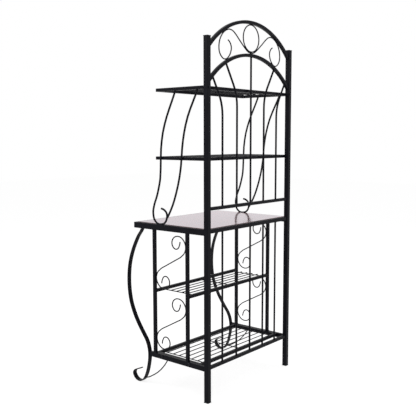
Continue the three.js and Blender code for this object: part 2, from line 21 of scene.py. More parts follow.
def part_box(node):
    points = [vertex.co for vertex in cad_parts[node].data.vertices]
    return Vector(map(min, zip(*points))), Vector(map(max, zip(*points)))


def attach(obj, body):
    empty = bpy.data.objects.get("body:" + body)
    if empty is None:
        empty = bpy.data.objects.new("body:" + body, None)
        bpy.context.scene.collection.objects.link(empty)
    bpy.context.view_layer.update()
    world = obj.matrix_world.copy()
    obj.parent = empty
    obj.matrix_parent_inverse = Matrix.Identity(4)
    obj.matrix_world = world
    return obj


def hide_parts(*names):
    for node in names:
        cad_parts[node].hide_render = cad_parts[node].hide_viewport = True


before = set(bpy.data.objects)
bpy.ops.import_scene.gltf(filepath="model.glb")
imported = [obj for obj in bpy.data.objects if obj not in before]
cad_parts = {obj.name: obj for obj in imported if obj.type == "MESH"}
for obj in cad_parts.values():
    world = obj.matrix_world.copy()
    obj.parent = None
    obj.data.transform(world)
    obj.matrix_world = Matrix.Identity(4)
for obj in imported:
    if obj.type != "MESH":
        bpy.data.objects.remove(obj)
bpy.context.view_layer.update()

BODY = "root"
LOG = logging.getLogger("bakers_rack")

Piece = bpy.types.Object
Tree = bpy.types.NodeTree
Node = bpy.types.Node
Socket = bpy.types.NodeSocket
Pair = tuple[float, float]
Spot = tuple[float, float, float]

# A point of an upright plane: its real part runs level, and its imaginary part up.
Point = complex

MM = 0.001
ACROSS, ALONG, UP = Vector((1, 0, 0)), Vector((0, 1, 0)), Vector((0, 0, 1))
SIDES = ((1, "right"), (-1, "left"))

# Edges that fold by more than SHARP are rounded, and those that fold by less than SMOOTH are
# shaded smooth. A face whose normal has more than FACING of a direction faces that way.
SHARP = math.radians(50)
SMOOTH = math.radians(32)
FACING = 0.5
SAME_CORNER = 0.001 * MM

# How finely the ends of wire, the corners of sections and the edges of rolled tube are rounded.
END_STEPS = 2
CORNER_STEPS = 3
ROLLED_STEPS = 4

# Bends and arcs that turn by less than these are straight.
STRAIGHT = math.radians(0.05)
LEAST_LEAN = 1e-4
LEAST_SPREAD = 1e-9

# Sockets of a map range node, in the order in which ranges are written here.
RANGE_ENDS = ("From Min", "From Max", "To Min", "To Max")


# Helpers: selection, edit mode, primitives and copies.


def pick(piece: Piece) -> None:
    """Selects one object alone and makes it the active one.

    Args:
        piece: The object.
    """
    bpy.ops.object.select_all(action="DESELECT")
    bpy.context.view_layer.objects.active = piece
    piece.select_set(True)


@contextmanager
def editing(piece: Piece, everything: bool = False) -> Iterator[None]:
    """Puts one piece in edit mode, and leaves edit mode at the end.

    Args:
        piece: The mesh object to edit.
        everything: Whether all of it is selected, and not nothing.
    """
    pick(piece)
    bpy.ops.object.mode_set(mode="EDIT")
    bpy.ops.mesh.select_all(action="SELECT" if everything else "DESELECT")
    yield
    bpy.ops.object.mode_set(mode="OBJECT")


class Parts(Enum):
    """The parts of a mesh that a selection picks from."""

    EDGES = "EDGE"
    FACES = "FACE"


def select(piece: Piece, parts: Parts, wanted: Callable[[Any], bool]) -> None:
    """Selects the edges or faces of the piece in edit mode that pass a test.

    Args:
        piece: The mesh object being edited.
        parts: Whether edges or faces are picked.
        wanted: Says whether one is selected, by its place or direction.
    """
    bpy.ops.mesh.select_mode(type=parts.value)
    mesh = bmesh.from_edit_mesh(piece.data)
    for part in mesh.faces if parts is Parts.FACES else mesh.edges:
        part.select_set(wanted(part))
    bmesh.update_edit_mesh(piece.data)


def apply_modifier(piece: Piece, kind: str, **settings: Any) -> None:
    """Adds a modifier with its settings and applies it.

    Args:
        piece: The mesh object.
        kind: The modifier's type name.
        settings: The modifier's properties.
    """
    pick(piece)
    modifier = piece.modifiers.new(kind.title(), kind)
    for key, value in settings.items():
        setattr(modifier, key, value)
    bpy.ops.object.modifier_apply(modifier=modifier.name)


def round_edges(piece: Piece, radius: float, segments: int = CORNER_STEPS) -> None:
    """Rounds every sharp edge of a piece.

    Args:
        piece: The mesh object.
        radius: Size of the rounding.
        segments: How finely each edge is rounded.
    """
    apply_modifier(
        piece,
        "BEVEL",
        width=radius,
        segments=segments,
        limit_method="ANGLE",
        angle_limit=SHARP,
        use_clamp_overlap=True,
    )


def cut_out(piece: Piece, cutter: Piece) -> None:
    """Takes the shape of a cutter out of a piece, and removes the cutter."""
    apply_modifier(piece, "BOOLEAN", object=cutter, operation="DIFFERENCE")
    bpy.data.objects.remove(cutter)


def trim(piece: Piece, spot: Sequence[float], outward: Sequence[float]) -> None:
    """Saws a closed piece off at a plane through a spot; what lies outward of it falls off."""
    with editing(piece, everything=True):
        bpy.ops.mesh.bisect(plane_co=spot, plane_no=outward, use_fill=True, clear_outer=True)


def place_in_mesh(piece: Piece) -> None:
    """Moves a piece's place, turn and scale into its mesh; its object then sits at the origin."""
    pick(piece)
    bpy.ops.object.transform_apply(location=True, rotation=True, scale=True)


def face_outwards(piece: Piece) -> None:
    """Merges doubles and turns every face of a closed piece outwards.

    Args:
        piece: The piece.
    """
    with editing(piece, everything=True):
        bpy.ops.mesh.remove_doubles(threshold=SAME_CORNER)
        bpy.ops.mesh.normals_make_consistent(inside=False)


def joined(pieces: Sequence[Piece], name: str) -> Piece:
    """Joins pieces into one object.

    Args:
        pieces: The mesh objects, at least one.
        name: The joined object's name.

    Returns:
        The joined object.
    """
    pick(pieces[0])
    for piece in pieces:
        piece.select_set(True)
    bpy.ops.object.join()
    whole = bpy.context.view_layer.objects.active
    whole.name = name
    return whole


def copied(piece: Piece, name: str, shift: Vector) -> Piece:
    """Copies a piece, with a mesh of its own.

    Args:
        piece: The piece, not yet dressed.
        name: The copy's name.
        shift: Where the copy goes, from the piece.

    Returns:
        The copy.
    """
    twin = piece.copy()
    twin.data = piece.data.copy()
    twin.name = name
    bpy.context.collection.objects.link(twin)
    twin.location = piece.location + shift
    return twin


def started(name: str) -> Piece:
    """Names the primitive just added, and moves its place into its mesh.

    Args:
        name: The piece's name.

    Returns:
        The piece.
    """
    piece = bpy.context.object
    piece.name = name
    place_in_mesh(piece)
    return piece


def slab(name: str, low: Vector, high: Vector) -> Piece:
    """Models a plain slab between two corners."""
    bpy.ops.mesh.primitive_cube_add(size=1, location=(low + high) / 2, scale=high - low)
    return started(name)


def middle_of(node: str) -> Vector:
    """Gives the middle of a CAD node's box."""
    low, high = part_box(node)
    return (low + high) / 2


def back_plane() -> float:
    """Gives how far back the middle of the posts lies."""
    return middle_of("lower_post_right").y


def long_axis(size: Vector) -> int:
    """Gives the number of the axis along which a size is greatest."""
    return max(range(3), key=lambda i: size[i])


def pair(stem: str) -> tuple[str, str]:
    """Gives the names of the right and the left CAD node of a kind."""
    return (f"{stem}_right", f"{stem}_left")


# Finishes.


def linear(code: str) -> tuple[float, float, float, float]:
    """Turns an sRGB hex colour to linear.

    Args:
        code: The colour as #rrggbb.

    Returns:
        Linear red, green, blue and an alpha of 1.
    """
    shares = [int(code[i : i + 2], 16) / 255 for i in (1, 3, 5)]
    parts = [s / 12.92 if s <= 0.04045 else ((s + 0.055) / 1.055) ** 2.4 for s in shares]
    return (parts[0], parts[1], parts[2], 1.0)


def cleared_tree(owner: bpy.types.Material | bpy.types.World) -> Tree:
    """Gives the node tree of a new material or world, emptied.

    Args:
        owner: The material or world.

    Returns:
        Its node tree.
    """
    owner.use_nodes = True
    owner.node_tree.nodes.clear()
    return owner.node_tree


def add_node(
    tree: Tree,
    kind: str,
    inputs: dict[str | int, Any] | None = None,
    **settings: Any,
) -> Node:
    """Adds a shader node with its settings, values and links.

    Args:
        tree: The node tree.
        kind: The node's type name.
        inputs: For each input socket its value, or the output socket that feeds it.
        settings: Properties of the node itself.

    Returns:
        The node.
    """
    node = tree.nodes.new(kind)
    for key, value in settings.items():
        setattr(node, key, value)
    for key, value in (inputs or {}).items():
        if isinstance(value, Socket):
            tree.links.new(value, node.inputs[key])
        else:
            node.inputs[key].default_value = value
    return node


def set_ramp(node: Node, stops: Iterable[tuple[float, str]]) -> None:
    """Sets a colour ramp's stops.

    Args:
        node: The colour ramp node.
        stops: Position and sRGB hex colour of each stop, in order.
    """
    elements = node.color_ramp.elements
    for i, (position, code) in enumerate(stops):
        element = elements[i] if i < len(elements) else elements.new(position)
        element.position = position
        element.color = linear(code)


@dataclass(frozen=True)
class Finish:
    """A material of the rack: its name, the record's slot it stands for, and its shader."""

    name: str
    slot: str

    def material(self) -> bpy.types.Material:
        """Gives the finish's material, made the first time that it is asked for.

        Returns:
            The material.
        """
        made = bpy.data.materials.get(self.name)
        if not made:
            made = bpy.data.materials.new(self.name)
            tree = cleared_tree(made)
            shader = self.shade(tree)
            add_node(tree, "ShaderNodeOutputMaterial", {"Surface": shader.outputs[0]})
        return made

    def shade(self, tree: Tree) -> Node:
        """Builds the shader; each finish has its own."""
        raise NotImplementedError


@dataclass(frozen=True)
class MottledFinish(Finish):
    """A dark finish whose tone and gloss drift over the surface, over a fine relief.

    Attributes:
        deep: Darker tone.
        pale: Lighter tone.
        tone_span: Where in the drift the darker tone ends and the lighter one begins.
        drift_mm: Size of the drift's patches.
        relief_mm: Pitch of the relief.
        relief_depth_mm: Depth of the relief.
        relief_strength: How much of the relief shows.
        noise: Detail and roughness of both noises.
        gloss_span: Where in the drift the gloss begins and ends to change.
        least_rough: Roughness where the surface is glossiest.
        most_rough: Roughness where it is flattest.
        metallic: 1 for bare metal, 0 for a coat or a plastic.
        specular: Strength of the surface's own gloss; 0.5 is that of clear glass.
        ior: Index of refraction.
    """

    deep: str = "#000000"
    pale: str = "#ffffff"
    tone_span: Pair = (0.32, 0.7)
    drift_mm: float = 10.0
    relief_mm: float = 1.0
    relief_depth_mm: float = 0.05
    relief_strength: float = 0.3
    noise: Pair = (3.0, 0.6)
    gloss_span: Pair = (0.3, 0.7)
    least_rough: float = 0.3
    most_rough: float = 0.5
    metallic: float = 0.0
    specular: float = 0.5
    ior: float = 1.5

    def shade(self, tree: Tree) -> Node:
        """Builds the shader.

        Args:
            tree: The material's node tree.

        Returns:
            The shader node.
        """
        place = add_node(tree, "ShaderNodeTexCoord").outputs["Object"]
        detail, roughness = self.noise
        noise = {"Vector": place, "Detail": detail, "Roughness": roughness}
        drift, relief = (
            add_node(tree, "ShaderNodeTexNoise", noise | {"Scale": 1 / (pitch * MM)}).outputs["Fac"]
            for pitch in (self.drift_mm, self.relief_mm)
        )
        tint = add_node(tree, "ShaderNodeValToRGB", {"Fac": drift})
        set_ramp(tint, zip(self.tone_span, (self.deep, self.pale)))
        ends = dict(zip(RANGE_ENDS, (*self.gloss_span, self.least_rough, self.most_rough)))
        gloss = add_node(tree, "ShaderNodeMapRange", ends | {"Value": drift})
        depth = self.relief_depth_mm * MM
        bump = add_node(
            tree,
            "ShaderNodeBump",
            {"Height": relief, "Strength": self.relief_strength, "Distance": depth},
        )
        return add_node(
            tree,
            "ShaderNodeBsdfPrincipled",
            {
                "Base Color": tint.outputs["Color"],
                "Roughness": gloss.outputs["Result"],
                "Normal": bump.outputs["Normal"],
                "IOR": self.ior,
                "Metallic": self.metallic,
                "Specular IOR Level": self.specular,
            },
        )


@dataclass(frozen=True)
class PowderCoat(MottledFinish):
    """Black epoxy-polyester powder coat, sprayed dry and baked on steel.

    It gives the eye a deep, slightly bluish black with a soft gloss, a faint orange peel, and a
    gloss that changes a little over a hand's width, where the coat flowed thicker. Real orange
    peel has a pitch of about 1 mm; it is drawn at 3 mm so that it shows at all.
    """

    name: str = "satin_powder_coat"
    slot: str = "powder_coat"
    deep: str = "#08080e"
    pale: str = "#101017"
    drift_mm: float = 70.0
    relief_mm: float = 3.0
    least_rough: float = 0.33
    most_rough: float = 0.44
    specular: float = 0.07


@dataclass(frozen=True)
class MouldedPlastic(MottledFinish):
    """Black polyethylene, injection-moulded, as pushed into tube ends.

    It gives the eye a flatter black than the coat, with a spark-eroded grain. The real grain is
    near 0.3 mm; it is drawn at 0.8 mm so that it shows.
    """

    name: str = "moulded_polyethylene"
    slot: str = "plastic_cap"
    deep: str = "#0c0c0f"
    pale: str = "#161619"
    drift_mm: float = 9.0
    relief_mm: float = 0.8
    least_rough: float = 0.5
    most_rough: float = 0.64
    specular: float = 0.14


@dataclass(frozen=True)
class BlackOxideSteel(MottledFinish):
    """Steel screws, blackened in a hot oxide bath and oiled.

    They give the eye a dark metal sheen with small flatter patches of about 2 mm, as the bath
    leaves them.
    """

    name: str = "black_oxide_steel"
    slot: str = "bolt"
    deep: str = "#1c1c20"
    pale: str = "#2c2c32"
    drift_mm: float = 2.0
    relief_mm: float = 0.6
    relief_depth_mm: float = 0.02
    least_rough: float = 0.3
    most_rough: float = 0.5
    metallic: float = 0.9


@dataclass(frozen=True)
class CherryLacquer(Finish):
    """Cherry-veneered board, stained red-brown and sprayed with polished clear lacquer.

    It gives the eye long soft grain along the rack's width with short dark pores, under a clear
    skin that mirrors whatever stands on it or behind it.

    Attributes:
        bands: Where each tone of the growth rings lies in their noise.
        wander: How far bands and pores stray from straight.
        pore_span: Where in their noise pores begin and end to show.
        pore_shade: How much of the wood's colour is left in a pore.
        skin: Colour of the lacquer, which is toned with a little of the red stain.
        lacquer: Weight, roughness and index of refraction of the lacquer.
        roughness: Roughness of the filled wood under it.
        ior: Index of refraction of the filled wood.
    """

    name: str = "lacquered_cherry"
    slot: str = "worktop_board"
    bands: tuple[tuple[float, str], ...] = ((0.3, "#431b1c"), (0.5, "#602a2a"), (0.72, "#763935"))
    # Growth rings show as bands about 14 mm apart that run on for some 180 mm.
    band_mm: float = 14.0
    band_run_mm: float = 180.0
    band_detail: float = 5.0
    # Pores are near 0.2 mm across; they are drawn at 1.2 mm so that they show.
    pore_mm: float = 1.2
    pore_run_mm: float = 22.0
    pore_detail: float = 2.0
    wander: float = 0.4
    pore_span: Pair = (0.34, 0.44)
    pore_shade: float = 0.55
    skin: str = "#fcf4ff"
    lacquer: Spot = (0.6, 0.14, 1.5)
    roughness: float = 0.16
    ior: float = 1.8

    def shade(self, tree: Tree) -> Node:
        """Builds the lacquered wood's shader.

        Args:
            tree: The material's node tree.

        Returns:
            The shader node.
        """
        place = add_node(tree, "ShaderNodeTexCoord").outputs["Object"]

        def streaks(run_mm: float, across_mm: float, detail: float) -> Socket:
            """Gives a noise that is drawn out along the grain.

            Args:
                run_mm: How far a streak runs.
                across_mm: Its width.
                detail: The noise's detail.

            Returns:
                The noise's socket.
            """
            across = 1 / (across_mm * MM)
            scale = (1 / (run_mm * MM), across, across)
            mapping = add_node(tree, "ShaderNodeMapping", {"Vector": place, "Scale": scale})
            noise = {
                "Vector": mapping.outputs["Vector"],
                "Scale": 1.0,
                "Detail": detail,
                "Distortion": self.wander,
            }
            return add_node(tree, "ShaderNodeTexNoise", noise).outputs["Fac"]

        rings = streaks(self.band_run_mm, self.band_mm, self.band_detail)
        bands = add_node(tree, "ShaderNodeValToRGB", {"Fac": rings})
        set_ramp(bands, self.bands)
        holes = streaks(self.pore_run_mm, self.pore_mm, self.pore_detail)
        ends = dict(zip(RANGE_ENDS, (*self.pore_span, self.pore_shade, 1.0)))
        pores = add_node(tree, "ShaderNodeMapRange", ends | {"Value": holes})
        grain = add_node(
            tree,
            "ShaderNodeMix",
            {0: 1.0, 6: bands.outputs["Color"], 7: pores.outputs["Result"]},
            data_type="RGBA",
            blend_type="MULTIPLY",
        )
        weight, roughness, ior = self.lacquer
        return add_node(
            tree,
            "ShaderNodeBsdfPrincipled",
            {
                "Base Color": grain.outputs[2],
                "Roughness": self.roughness,
                "IOR": self.ior,
                "Coat Weight": weight,
                "Coat Roughness": roughness,
                "Coat IOR": ior,
                "Coat Tint": linear(self.skin),
            },
        )


POWDER_COAT = PowderCoat()
PLASTIC = MouldedPlastic()
BLACK_OXIDE = BlackOxideSteel()
CHERRY = CherryLacquer()


def dress(piece: Piece, finish: Finish, *nodes: str) -> None:
    """Finishes a piece: place in mesh, faces out, smooth, coated, and bound to the CAD frame.

    Args:
        piece: The modelled piece.
        finish: Its finish.
        nodes: The CAD nodes that it stands for.
    """
    place_in_mesh(piece)
    face_outwards(piece)
    pick(piece)
    bpy.ops.object.shade_smooth_by_angle(angle=SMOOTH)
    apply_modifier(piece, "WEIGHTED_NORMAL", keep_sharp=True)
    piece.data.materials.clear()
    piece.data.materials.append(finish.material())
    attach(piece, BODY)
    if nodes:
        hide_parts(*nodes)
    LOG.info("%s: %d faces, for %s", piece.name, len(piece.data.polygons), ", ".join(nodes) or "-")


def dress_alike(piece: Piece, finish: Finish, nodes: Sequence[str]) -> None:
    """Copies a piece to the place of every CAD node of its kind, and dresses the piece and copies.

    Args:
        piece: The piece, in the first node's place and with that node's name in its own.
        finish: Their finish.
        nodes: The CAD nodes, which differ only in their place.
    """
    first = nodes[0]
    for node in nodes[1:]:
        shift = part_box(node)[1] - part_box(first)[1]
        dress(copied(piece, piece.name.replace(first, node), shift), finish, node)
    dress(piece, finish, first)


# Bending: wires, rods and bars are swept along chains of arcs, as a bender makes them.


class Plane(Enum):
    """The upright plane that a bent piece lies in: the rack's side, or its back."""

    SIDE = "side"
    BACK = "back"

    @property
    def axis(self) -> Vector:
        """The axis of a turn that lifts the plane's level direction."""
        return ACROSS if self is Plane.SIDE else -ALONG

    def point(self, offset: float, spot: Point) -> Vector:
        """Places a point of the plane.

        Args:
            offset: Where the plane lies, along X for a side plane and along Y for a back plane.
            spot: The point.

        Returns:
            The point in the rack's frame.
        """
        level, up = spot.real, spot.imag
        return Vector((offset, level, up) if self is Plane.SIDE else (level, offset, up))

    def way(self, heading: float) -> Vector:
        """Gives the direction of a heading, an angle from level towards up."""
        return self.point(0, cmath.rect(1, heading))

    def facing(self, heading: float) -> Spot:
        """Gives the turn that points a flat section's normal along a heading.

        Args:
            heading: The heading.

        Returns:
            The turn about the three axes.
        """
        if self is Plane.SIDE:
            return (heading - math.pi / 2, 0.0, 0.0)
        return (0.0, math.pi / 2 - heading, 0.0)


@dataclass(frozen=True)
class Bend:
    """One stretch of a bent piece, from a point with a heading, turning through an angle."""

    start: Point
    heading: float
    turn: float
    length: float

    @property
    def centre(self) -> Point:
        """The middle of the bend's circle."""
        return self.start + cmath.rect(self.length / self.turn, self.heading + math.pi / 2)

    @property
    def end(self) -> Point:
        """The last point of a bend that turns."""
        return self.centre - cmath.rect(self.length / self.turn, self.last_heading + math.pi / 2)

    @property
    def last_heading(self) -> float:
        """The heading at the bend's end."""
        return self.heading + self.turn

    @classmethod
    def arc(cls, start: Point, heading: float, end: Point) -> "Bend":
        """Gives the arc that leaves a point with a heading and ends at another point.

        Args:
            start: First point.
            heading: Heading at the first point.
            end: Last point.

        Returns:
            The arc.
        """
        reach, chord = cmath.polar(end - start)
        lean = math.remainder(chord - heading, 2 * math.pi)
        length = reach if abs(lean) < LEAST_LEAN else reach * lean / math.sin(lean)
        return cls(start, heading, 2 * lean, length)

    @classmethod
    def straight(cls, start: Point, end: Point) -> "Bend":
        """Gives a stretch between two points that doesn't turn."""
        reach, heading = cmath.polar(end - start)
        return cls(start, heading, 0.0, reach)


@dataclass(frozen=True)
class Route:
    """The middle line of a bent piece, as points that it passes through."""

    points: Sequence[Point]

    @classmethod
    def scaled(
        cls,
        shares: Sequence[Pair],
        level: Callable[[float], float],
        up: Callable[[float], float],
    ) -> "Route":
        """Makes a route from a table of shares, with functions that place them."""
        return cls([complex(level(a), up(b)) for a, b in shares])

    def headings(self) -> list[float]:
        """Gives the heading at each point, that of the circle through it and its neighbours.

        Returns:
            The headings.
        """
        points = self.points
        middle = [
            cmath.phase(1 / (b - a).conjugate() + 1 / (c - b).conjugate())
            for a, b, c in zip(points, points[1:], points[2:])
        ]
        # An arc's headings at its two ends lie evenly on both sides of its chord's.
        first = 2 * cmath.phase(points[1] - points[0]) - middle[0]
        last = 2 * cmath.phase(points[-1] - points[-2]) - middle[-1]
        return [first, *middle, last]

    def bends(self) -> list[Bend]:
        """Gives the chain of arcs, two between each pair of points, that joins them smoothly.

        Returns:
            The arcs in order.
        """
        chain = []
        knots = list(zip(self.points, self.headings()))
        for (a, heading), (b, next_heading) in zip(knots, knots[1:]):
            first, last = cmath.rect(1, heading), cmath.rect(1, next_heading)
            along = ((b - a) * (first + last).conjugate()).real
            spread = 2 * (1 - (first * last.conjugate()).real)
            square = abs(b - a) ** 2
            if spread < LEAST_SPREAD:
                reach = square / (2 * along)
            else:
                reach = (math.sqrt(along**2 + spread * square) - along) / spread
            meeting = (a + b + reach * (first - last)) / 2
            one = Bend.arc(a, heading, meeting)
            chain += [one, Bend.arc(meeting, one.last_heading, b)]
        return chain

    def crossing(self, height: float) -> float:
        """Gives how far along the plane the route first passes a height on its way down.

        Args:
            height: The height.

        Returns:
            The level part of that point.
        """
        for a, b in zip(self.points, self.points[1:]):
            if a.imag >= height > b.imag:
                return (a + (b - a) * (a.imag - height) / (a.imag - b.imag)).real
        raise ValueError(f"the route doesn't pass {height}")


def outline(name: str, at: Vector, turn: Sequence[float], size: Pair, corner: float) -> Piece:
    """Models the outline of a rectangular section with rounded corners.

    Args:
        name: The outline's name.
        at: Its middle.
        turn: Its turn, from lying level.
        size: Its two sides.
        corner: Rounding of its corners.

    Returns:
        The outline, as a closed chain of edges.
    """
    bpy.ops.mesh.primitive_plane_add(size=1, location=at, rotation=turn)
    bpy.context.object.scale = (*size, 1)
    made = started(name)
    with editing(made, everything=True):
        bpy.ops.mesh.bevel(offset=corner, segments=CORNER_STEPS, affect="VERTICES")
        bpy.ops.mesh.select_all(action="SELECT")
        bpy.ops.mesh.delete(type="ONLY_FACE")
    return made


@dataclass
class BentPiece:
    """A wire, rod, tube or flat bar bent in one plane.

    Attributes:
        name: The piece's name.
        plane: The plane that it lies in.
        offset: Where that plane lies.
        width: Size of its section across the plane; a round section's diameter.
        depth: Size of its section in the plane, or 0 for a round section.
        edge: Rounding of a rectangular section's corners.
        sides: How finely a round section is divided.
        step: Largest turn of one step of a bend.
    """

    name: str
    plane: Plane
    offset: float
    width: float
    depth: float = 0.0
    edge: float = 1.0 * MM
    sides: int = 16
    step: float = math.radians(7)

    def build(self, bends: Sequence[Bend]) -> Piece:
        """Sweeps the section along a chain of bends and closes its ends.

        Args:
            bends: The bends in order.

        Returns:
            The piece.
        """
        piece = self.section(bends[0])
        with editing(piece, everything=True):
            for bend in bends:
                self.follow(bend)
            bpy.ops.mesh.select_all(action="DESELECT")
            bpy.ops.mesh.select_mode(type="EDGE")
            bpy.ops.mesh.select_non_manifold(
                use_wire=False, use_multi_face=False, use_non_contiguous=False, use_verts=False
            )
            bpy.ops.mesh.edge_face_add()
        face_outwards(piece)
        return piece

    def section(self, first: Bend) -> Piece:
        """Adds the section's outline at the start of the first bend.

        Args:
            first: The first bend.

        Returns:
            The outline, in place.
        """
        at = self.plane.point(self.offset, first.start)
        turn = self.plane.facing(first.heading)
        if self.depth:
            side = self.plane is Plane.SIDE
            size = (self.width, self.depth) if side else (self.depth, self.width)
            return outline(self.name, at, turn, size, self.edge)
        bpy.ops.mesh.primitive_circle_add(
            vertices=self.sides, radius=self.width / 2, location=at, rotation=turn
        )
        return started(self.name)

    def follow(self, bend: Bend) -> None:
        """Takes the selected outline along one bend.

        Args:
            bend: The bend.
        """
        if abs(bend.turn) < STRAIGHT:
            ahead = self.plane.way(bend.heading) * bend.length
            bpy.ops.mesh.extrude_edges_move(TRANSFORM_OT_translate={"value": ahead})
            return
        bpy.ops.mesh.spin(
            steps=max(1, math.ceil(abs(bend.turn) / self.step)),
            angle=-bend.turn,
            center=self.plane.point(self.offset, bend.centre),
            axis=self.plane.axis,
        )


def tube_in_box(name: str, low: Vector, high: Vector, edge: float) -> Piece:
    """Models a straight square tube in a box, its long edges rounded as rolled tube has them.

    Args:
        name: The piece's name.
        low: Lowest corner.
        high: Highest corner.
        edge: Rounding of the edges.

    Returns:
        The tube.
    """
    size = high - low
    run = long_axis(size)
    tube = slab(name, low, high)

    def is_long(part: bmesh.types.BMEdge) -> bool:
        """Says whether an edge runs along the tube."""
        return abs((part.verts[0].co - part.verts[1].co)[run]) > size[run] / 2

    with editing(tube):
        select(tube, Parts.EDGES, is_long)
        bpy.ops.mesh.bevel(offset=edge, segments=ROLLED_STEPS, affect="EDGES")
    return tube


def dress_tubes(edge: float, *groups: Sequence[str]) -> None:
    """Models and dresses straight square tubes.

    Args:
        edge: Rounding of their edges.
        groups: CAD nodes, each group of nodes that differ only in their place.
    """
    for nodes in groups:
        tube = tube_in_box(f"{nodes[0]}_tube", *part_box(nodes[0]), edge)
        dress_alike(tube, POWDER_COAT, nodes)


# Welding.


@dataclass
class Welder:
    """Lays the beads and tacks that hold a sub-assembly together, and coats them as one piece.

    Attributes:
        name: The name of the joined welds.
        bead: Radius of a bead, half of which sinks into the joint.
        fine_bead: Radius of a bead round a thin wire.
        corner: Rounding of a bead's corners round a square tube.
        corner_share: The most of a flat bar's thickness that this rounding takes.
        ripple: How uneven a weld is.
        laid: The welds laid so far.
    """

    name: str
    bead: float = 1.2 * MM
    fine_bead: float = 0.8 * MM
    corner: float = 2.0 * MM
    corner_share: float = 1 / 3
    ripple: float = 0.25 * MM
    bead_steps: tuple[int, int] = (20, 8)
    side_cuts: int = 2
    side_roundness: int = 1
    tack_steps: tuple[int, int] = (12, 8)
    laid: list[Piece] = field(default_factory=list)

    def keep(self, weld: Piece) -> None:
        """Puts a weld in place, makes it a little uneven and keeps it.

        Args:
            weld: The weld as added.
        """
        place_in_mesh(weld)
        with editing(weld, everything=True):
            bpy.ops.transform.vertex_random(offset=self.ripple, seed=len(self.laid) + 1)
        self.laid.append(weld)

    def round_joint(self, at: Vector, way: Vector, radius: float, fine: bool = False) -> None:
        """Lays a bead round the end of a bar.

        Args:
            at: The middle of the bar's end.
            way: The bar's direction.
            radius: The bar's radius.
            fine: Whether the bar is a thin wire.
        """
        bpy.ops.mesh.primitive_torus_add(
            major_segments=self.bead_steps[0],
            minor_segments=self.bead_steps[1],
            major_radius=radius,
            minor_radius=self.fine_bead if fine else self.bead,
            location=at,
            rotation=way.to_track_quat("Z", "Y").to_euler(),
        )
        self.keep(bpy.context.object)

    def square_joint(self, at: Vector, way: Vector, width: float, height: float) -> None:
        """Lays a bead round the end of a square tube or a flat bar.

        Args:
            at: The middle of its end.
            way: Its direction.
            width: Its level side.
            height: Its other side.
        """
        turn = way.to_track_quat("Z", "Y").to_euler()
        corner = min(self.corner, height * self.corner_share)
        ring = outline("bead", at, turn, (width, height), corner)
        with editing(ring, everything=True):
            bpy.ops.mesh.subdivide(number_cuts=self.side_cuts)
        bpy.ops.object.convert(target="CURVE")
        curve = bpy.context.object
        curve.data.bevel_depth = self.bead
        curve.data.bevel_resolution = self.side_roundness
        bpy.ops.object.convert(target="MESH")
        self.keep(bpy.context.object)

    def tube_ends(self, low: Vector, high: Vector) -> None:
        """Lays a bead round both ends of a straight tube.

        Args:
            low: The tube's lowest corner.
            high: The tube's highest corner.
        """
        size = high - low
        run = long_axis(size)
        sides = [size[i] for i in range(3) if i != run]
        for end in (low, high):
            at = (low + high) / 2
            at[run] = end[run]
            self.square_joint(at, (ACROSS, ALONG, UP)[run], *sides)

    def tack(self, at: Vector, way: Vector, length: float, width: float) -> None:
        """Lays a short tack between two pieces that run side by side.

        Args:
            at: The point where they touch.
            way: The direction that they run in there.
            length: The tack's length.
            width: The tack's width.
        """
        bpy.ops.mesh.primitive_uv_sphere_add(
            segments=self.tack_steps[0],
            ring_count=self.tack_steps[1],
            radius=0.5,
            location=at,
            rotation=way.to_track_quat("Z", "Y").to_euler(),
        )
        blob = bpy.context.object
        blob.scale = (width, width, length)
        self.keep(blob)

    def whole(self) -> Piece:
        """Joins the welds laid so far."""
        return joined(self.laid, self.name)

    def finish(self) -> None:
        """Joins and coats the welds laid so far."""
        dress(self.whole(), POWDER_COAT)


# Sub-assemblies.


@dataclass
class Posts:
    """The two square posts, in two lengths each, with their plastic caps and feet."""

    edge: float = 2.0 * MM
    cap_edge: float = 1.1 * MM
    cap_plate: float = 4.0 * MM
    foot_plate: float = 3.0 * MM
    crown: float = 0.8 * MM
    crown_inset: float = 3.5 * MM
    plug_inset: float = 2.5 * MM

    def build(self) -> None:
        """Models and dresses the posts, caps and feet, and coats the hidden sleeves."""
        dress_tubes(self.edge, pair("upper_post"), pair("lower_post"))
        for stem, outward, plate in (("cap", 1, self.cap_plate), ("foot", -1, self.foot_plate)):
            nodes = pair(f"post_{stem}")
            dress_alike(self.cap(nodes[0], outward, plate), PLASTIC, nodes)
        for node in pair("post_sleeve"):
            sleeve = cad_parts[node]
            sleeve.data.materials.clear()
            sleeve.data.materials.append(POWDER_COAT.material())

    def cap(self, node: str, outward: int, plate: float) -> Piece:
        """Models a push-in cap: a square plate with its plug, and a crown on the one at the top.

        Args:
            node: The CAD node that the cap stands for.
            outward: 1 for the cap on a post's top, -1 for the foot under it.
            plate: The plate's thickness.

        Returns:
            The cap.
        """
        low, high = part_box(node)
        crown = self.crown if outward > 0 else 0.0
        face = high.z if outward > 0 else low.z
        under, over = sorted((face - outward * crown, face - outward * plate))
        corners = (Vector((low.x, low.y, under)), Vector((high.x, high.y, over)))
        cap = slab(f"{node}_moulding", *corners)
        plug = (0, 0, -outward * (high.z - low.z - plate))
        with editing(cap):
            select(cap, Parts.FACES, lambda face: face.normal.z * outward < -FACING)
            bpy.ops.mesh.inset(thickness=self.plug_inset)
            bpy.ops.mesh.extrude_region_move(TRANSFORM_OT_translate={"value": plug})
            if crown:
                select(cap, Parts.FACES, lambda face: face.normal.z > FACING)
                bpy.ops.mesh.inset(thickness=self.crown_inset)
                bpy.ops.transform.translate(value=(0, 0, crown))
        round_edges(cap, self.cap_edge)
        return cap


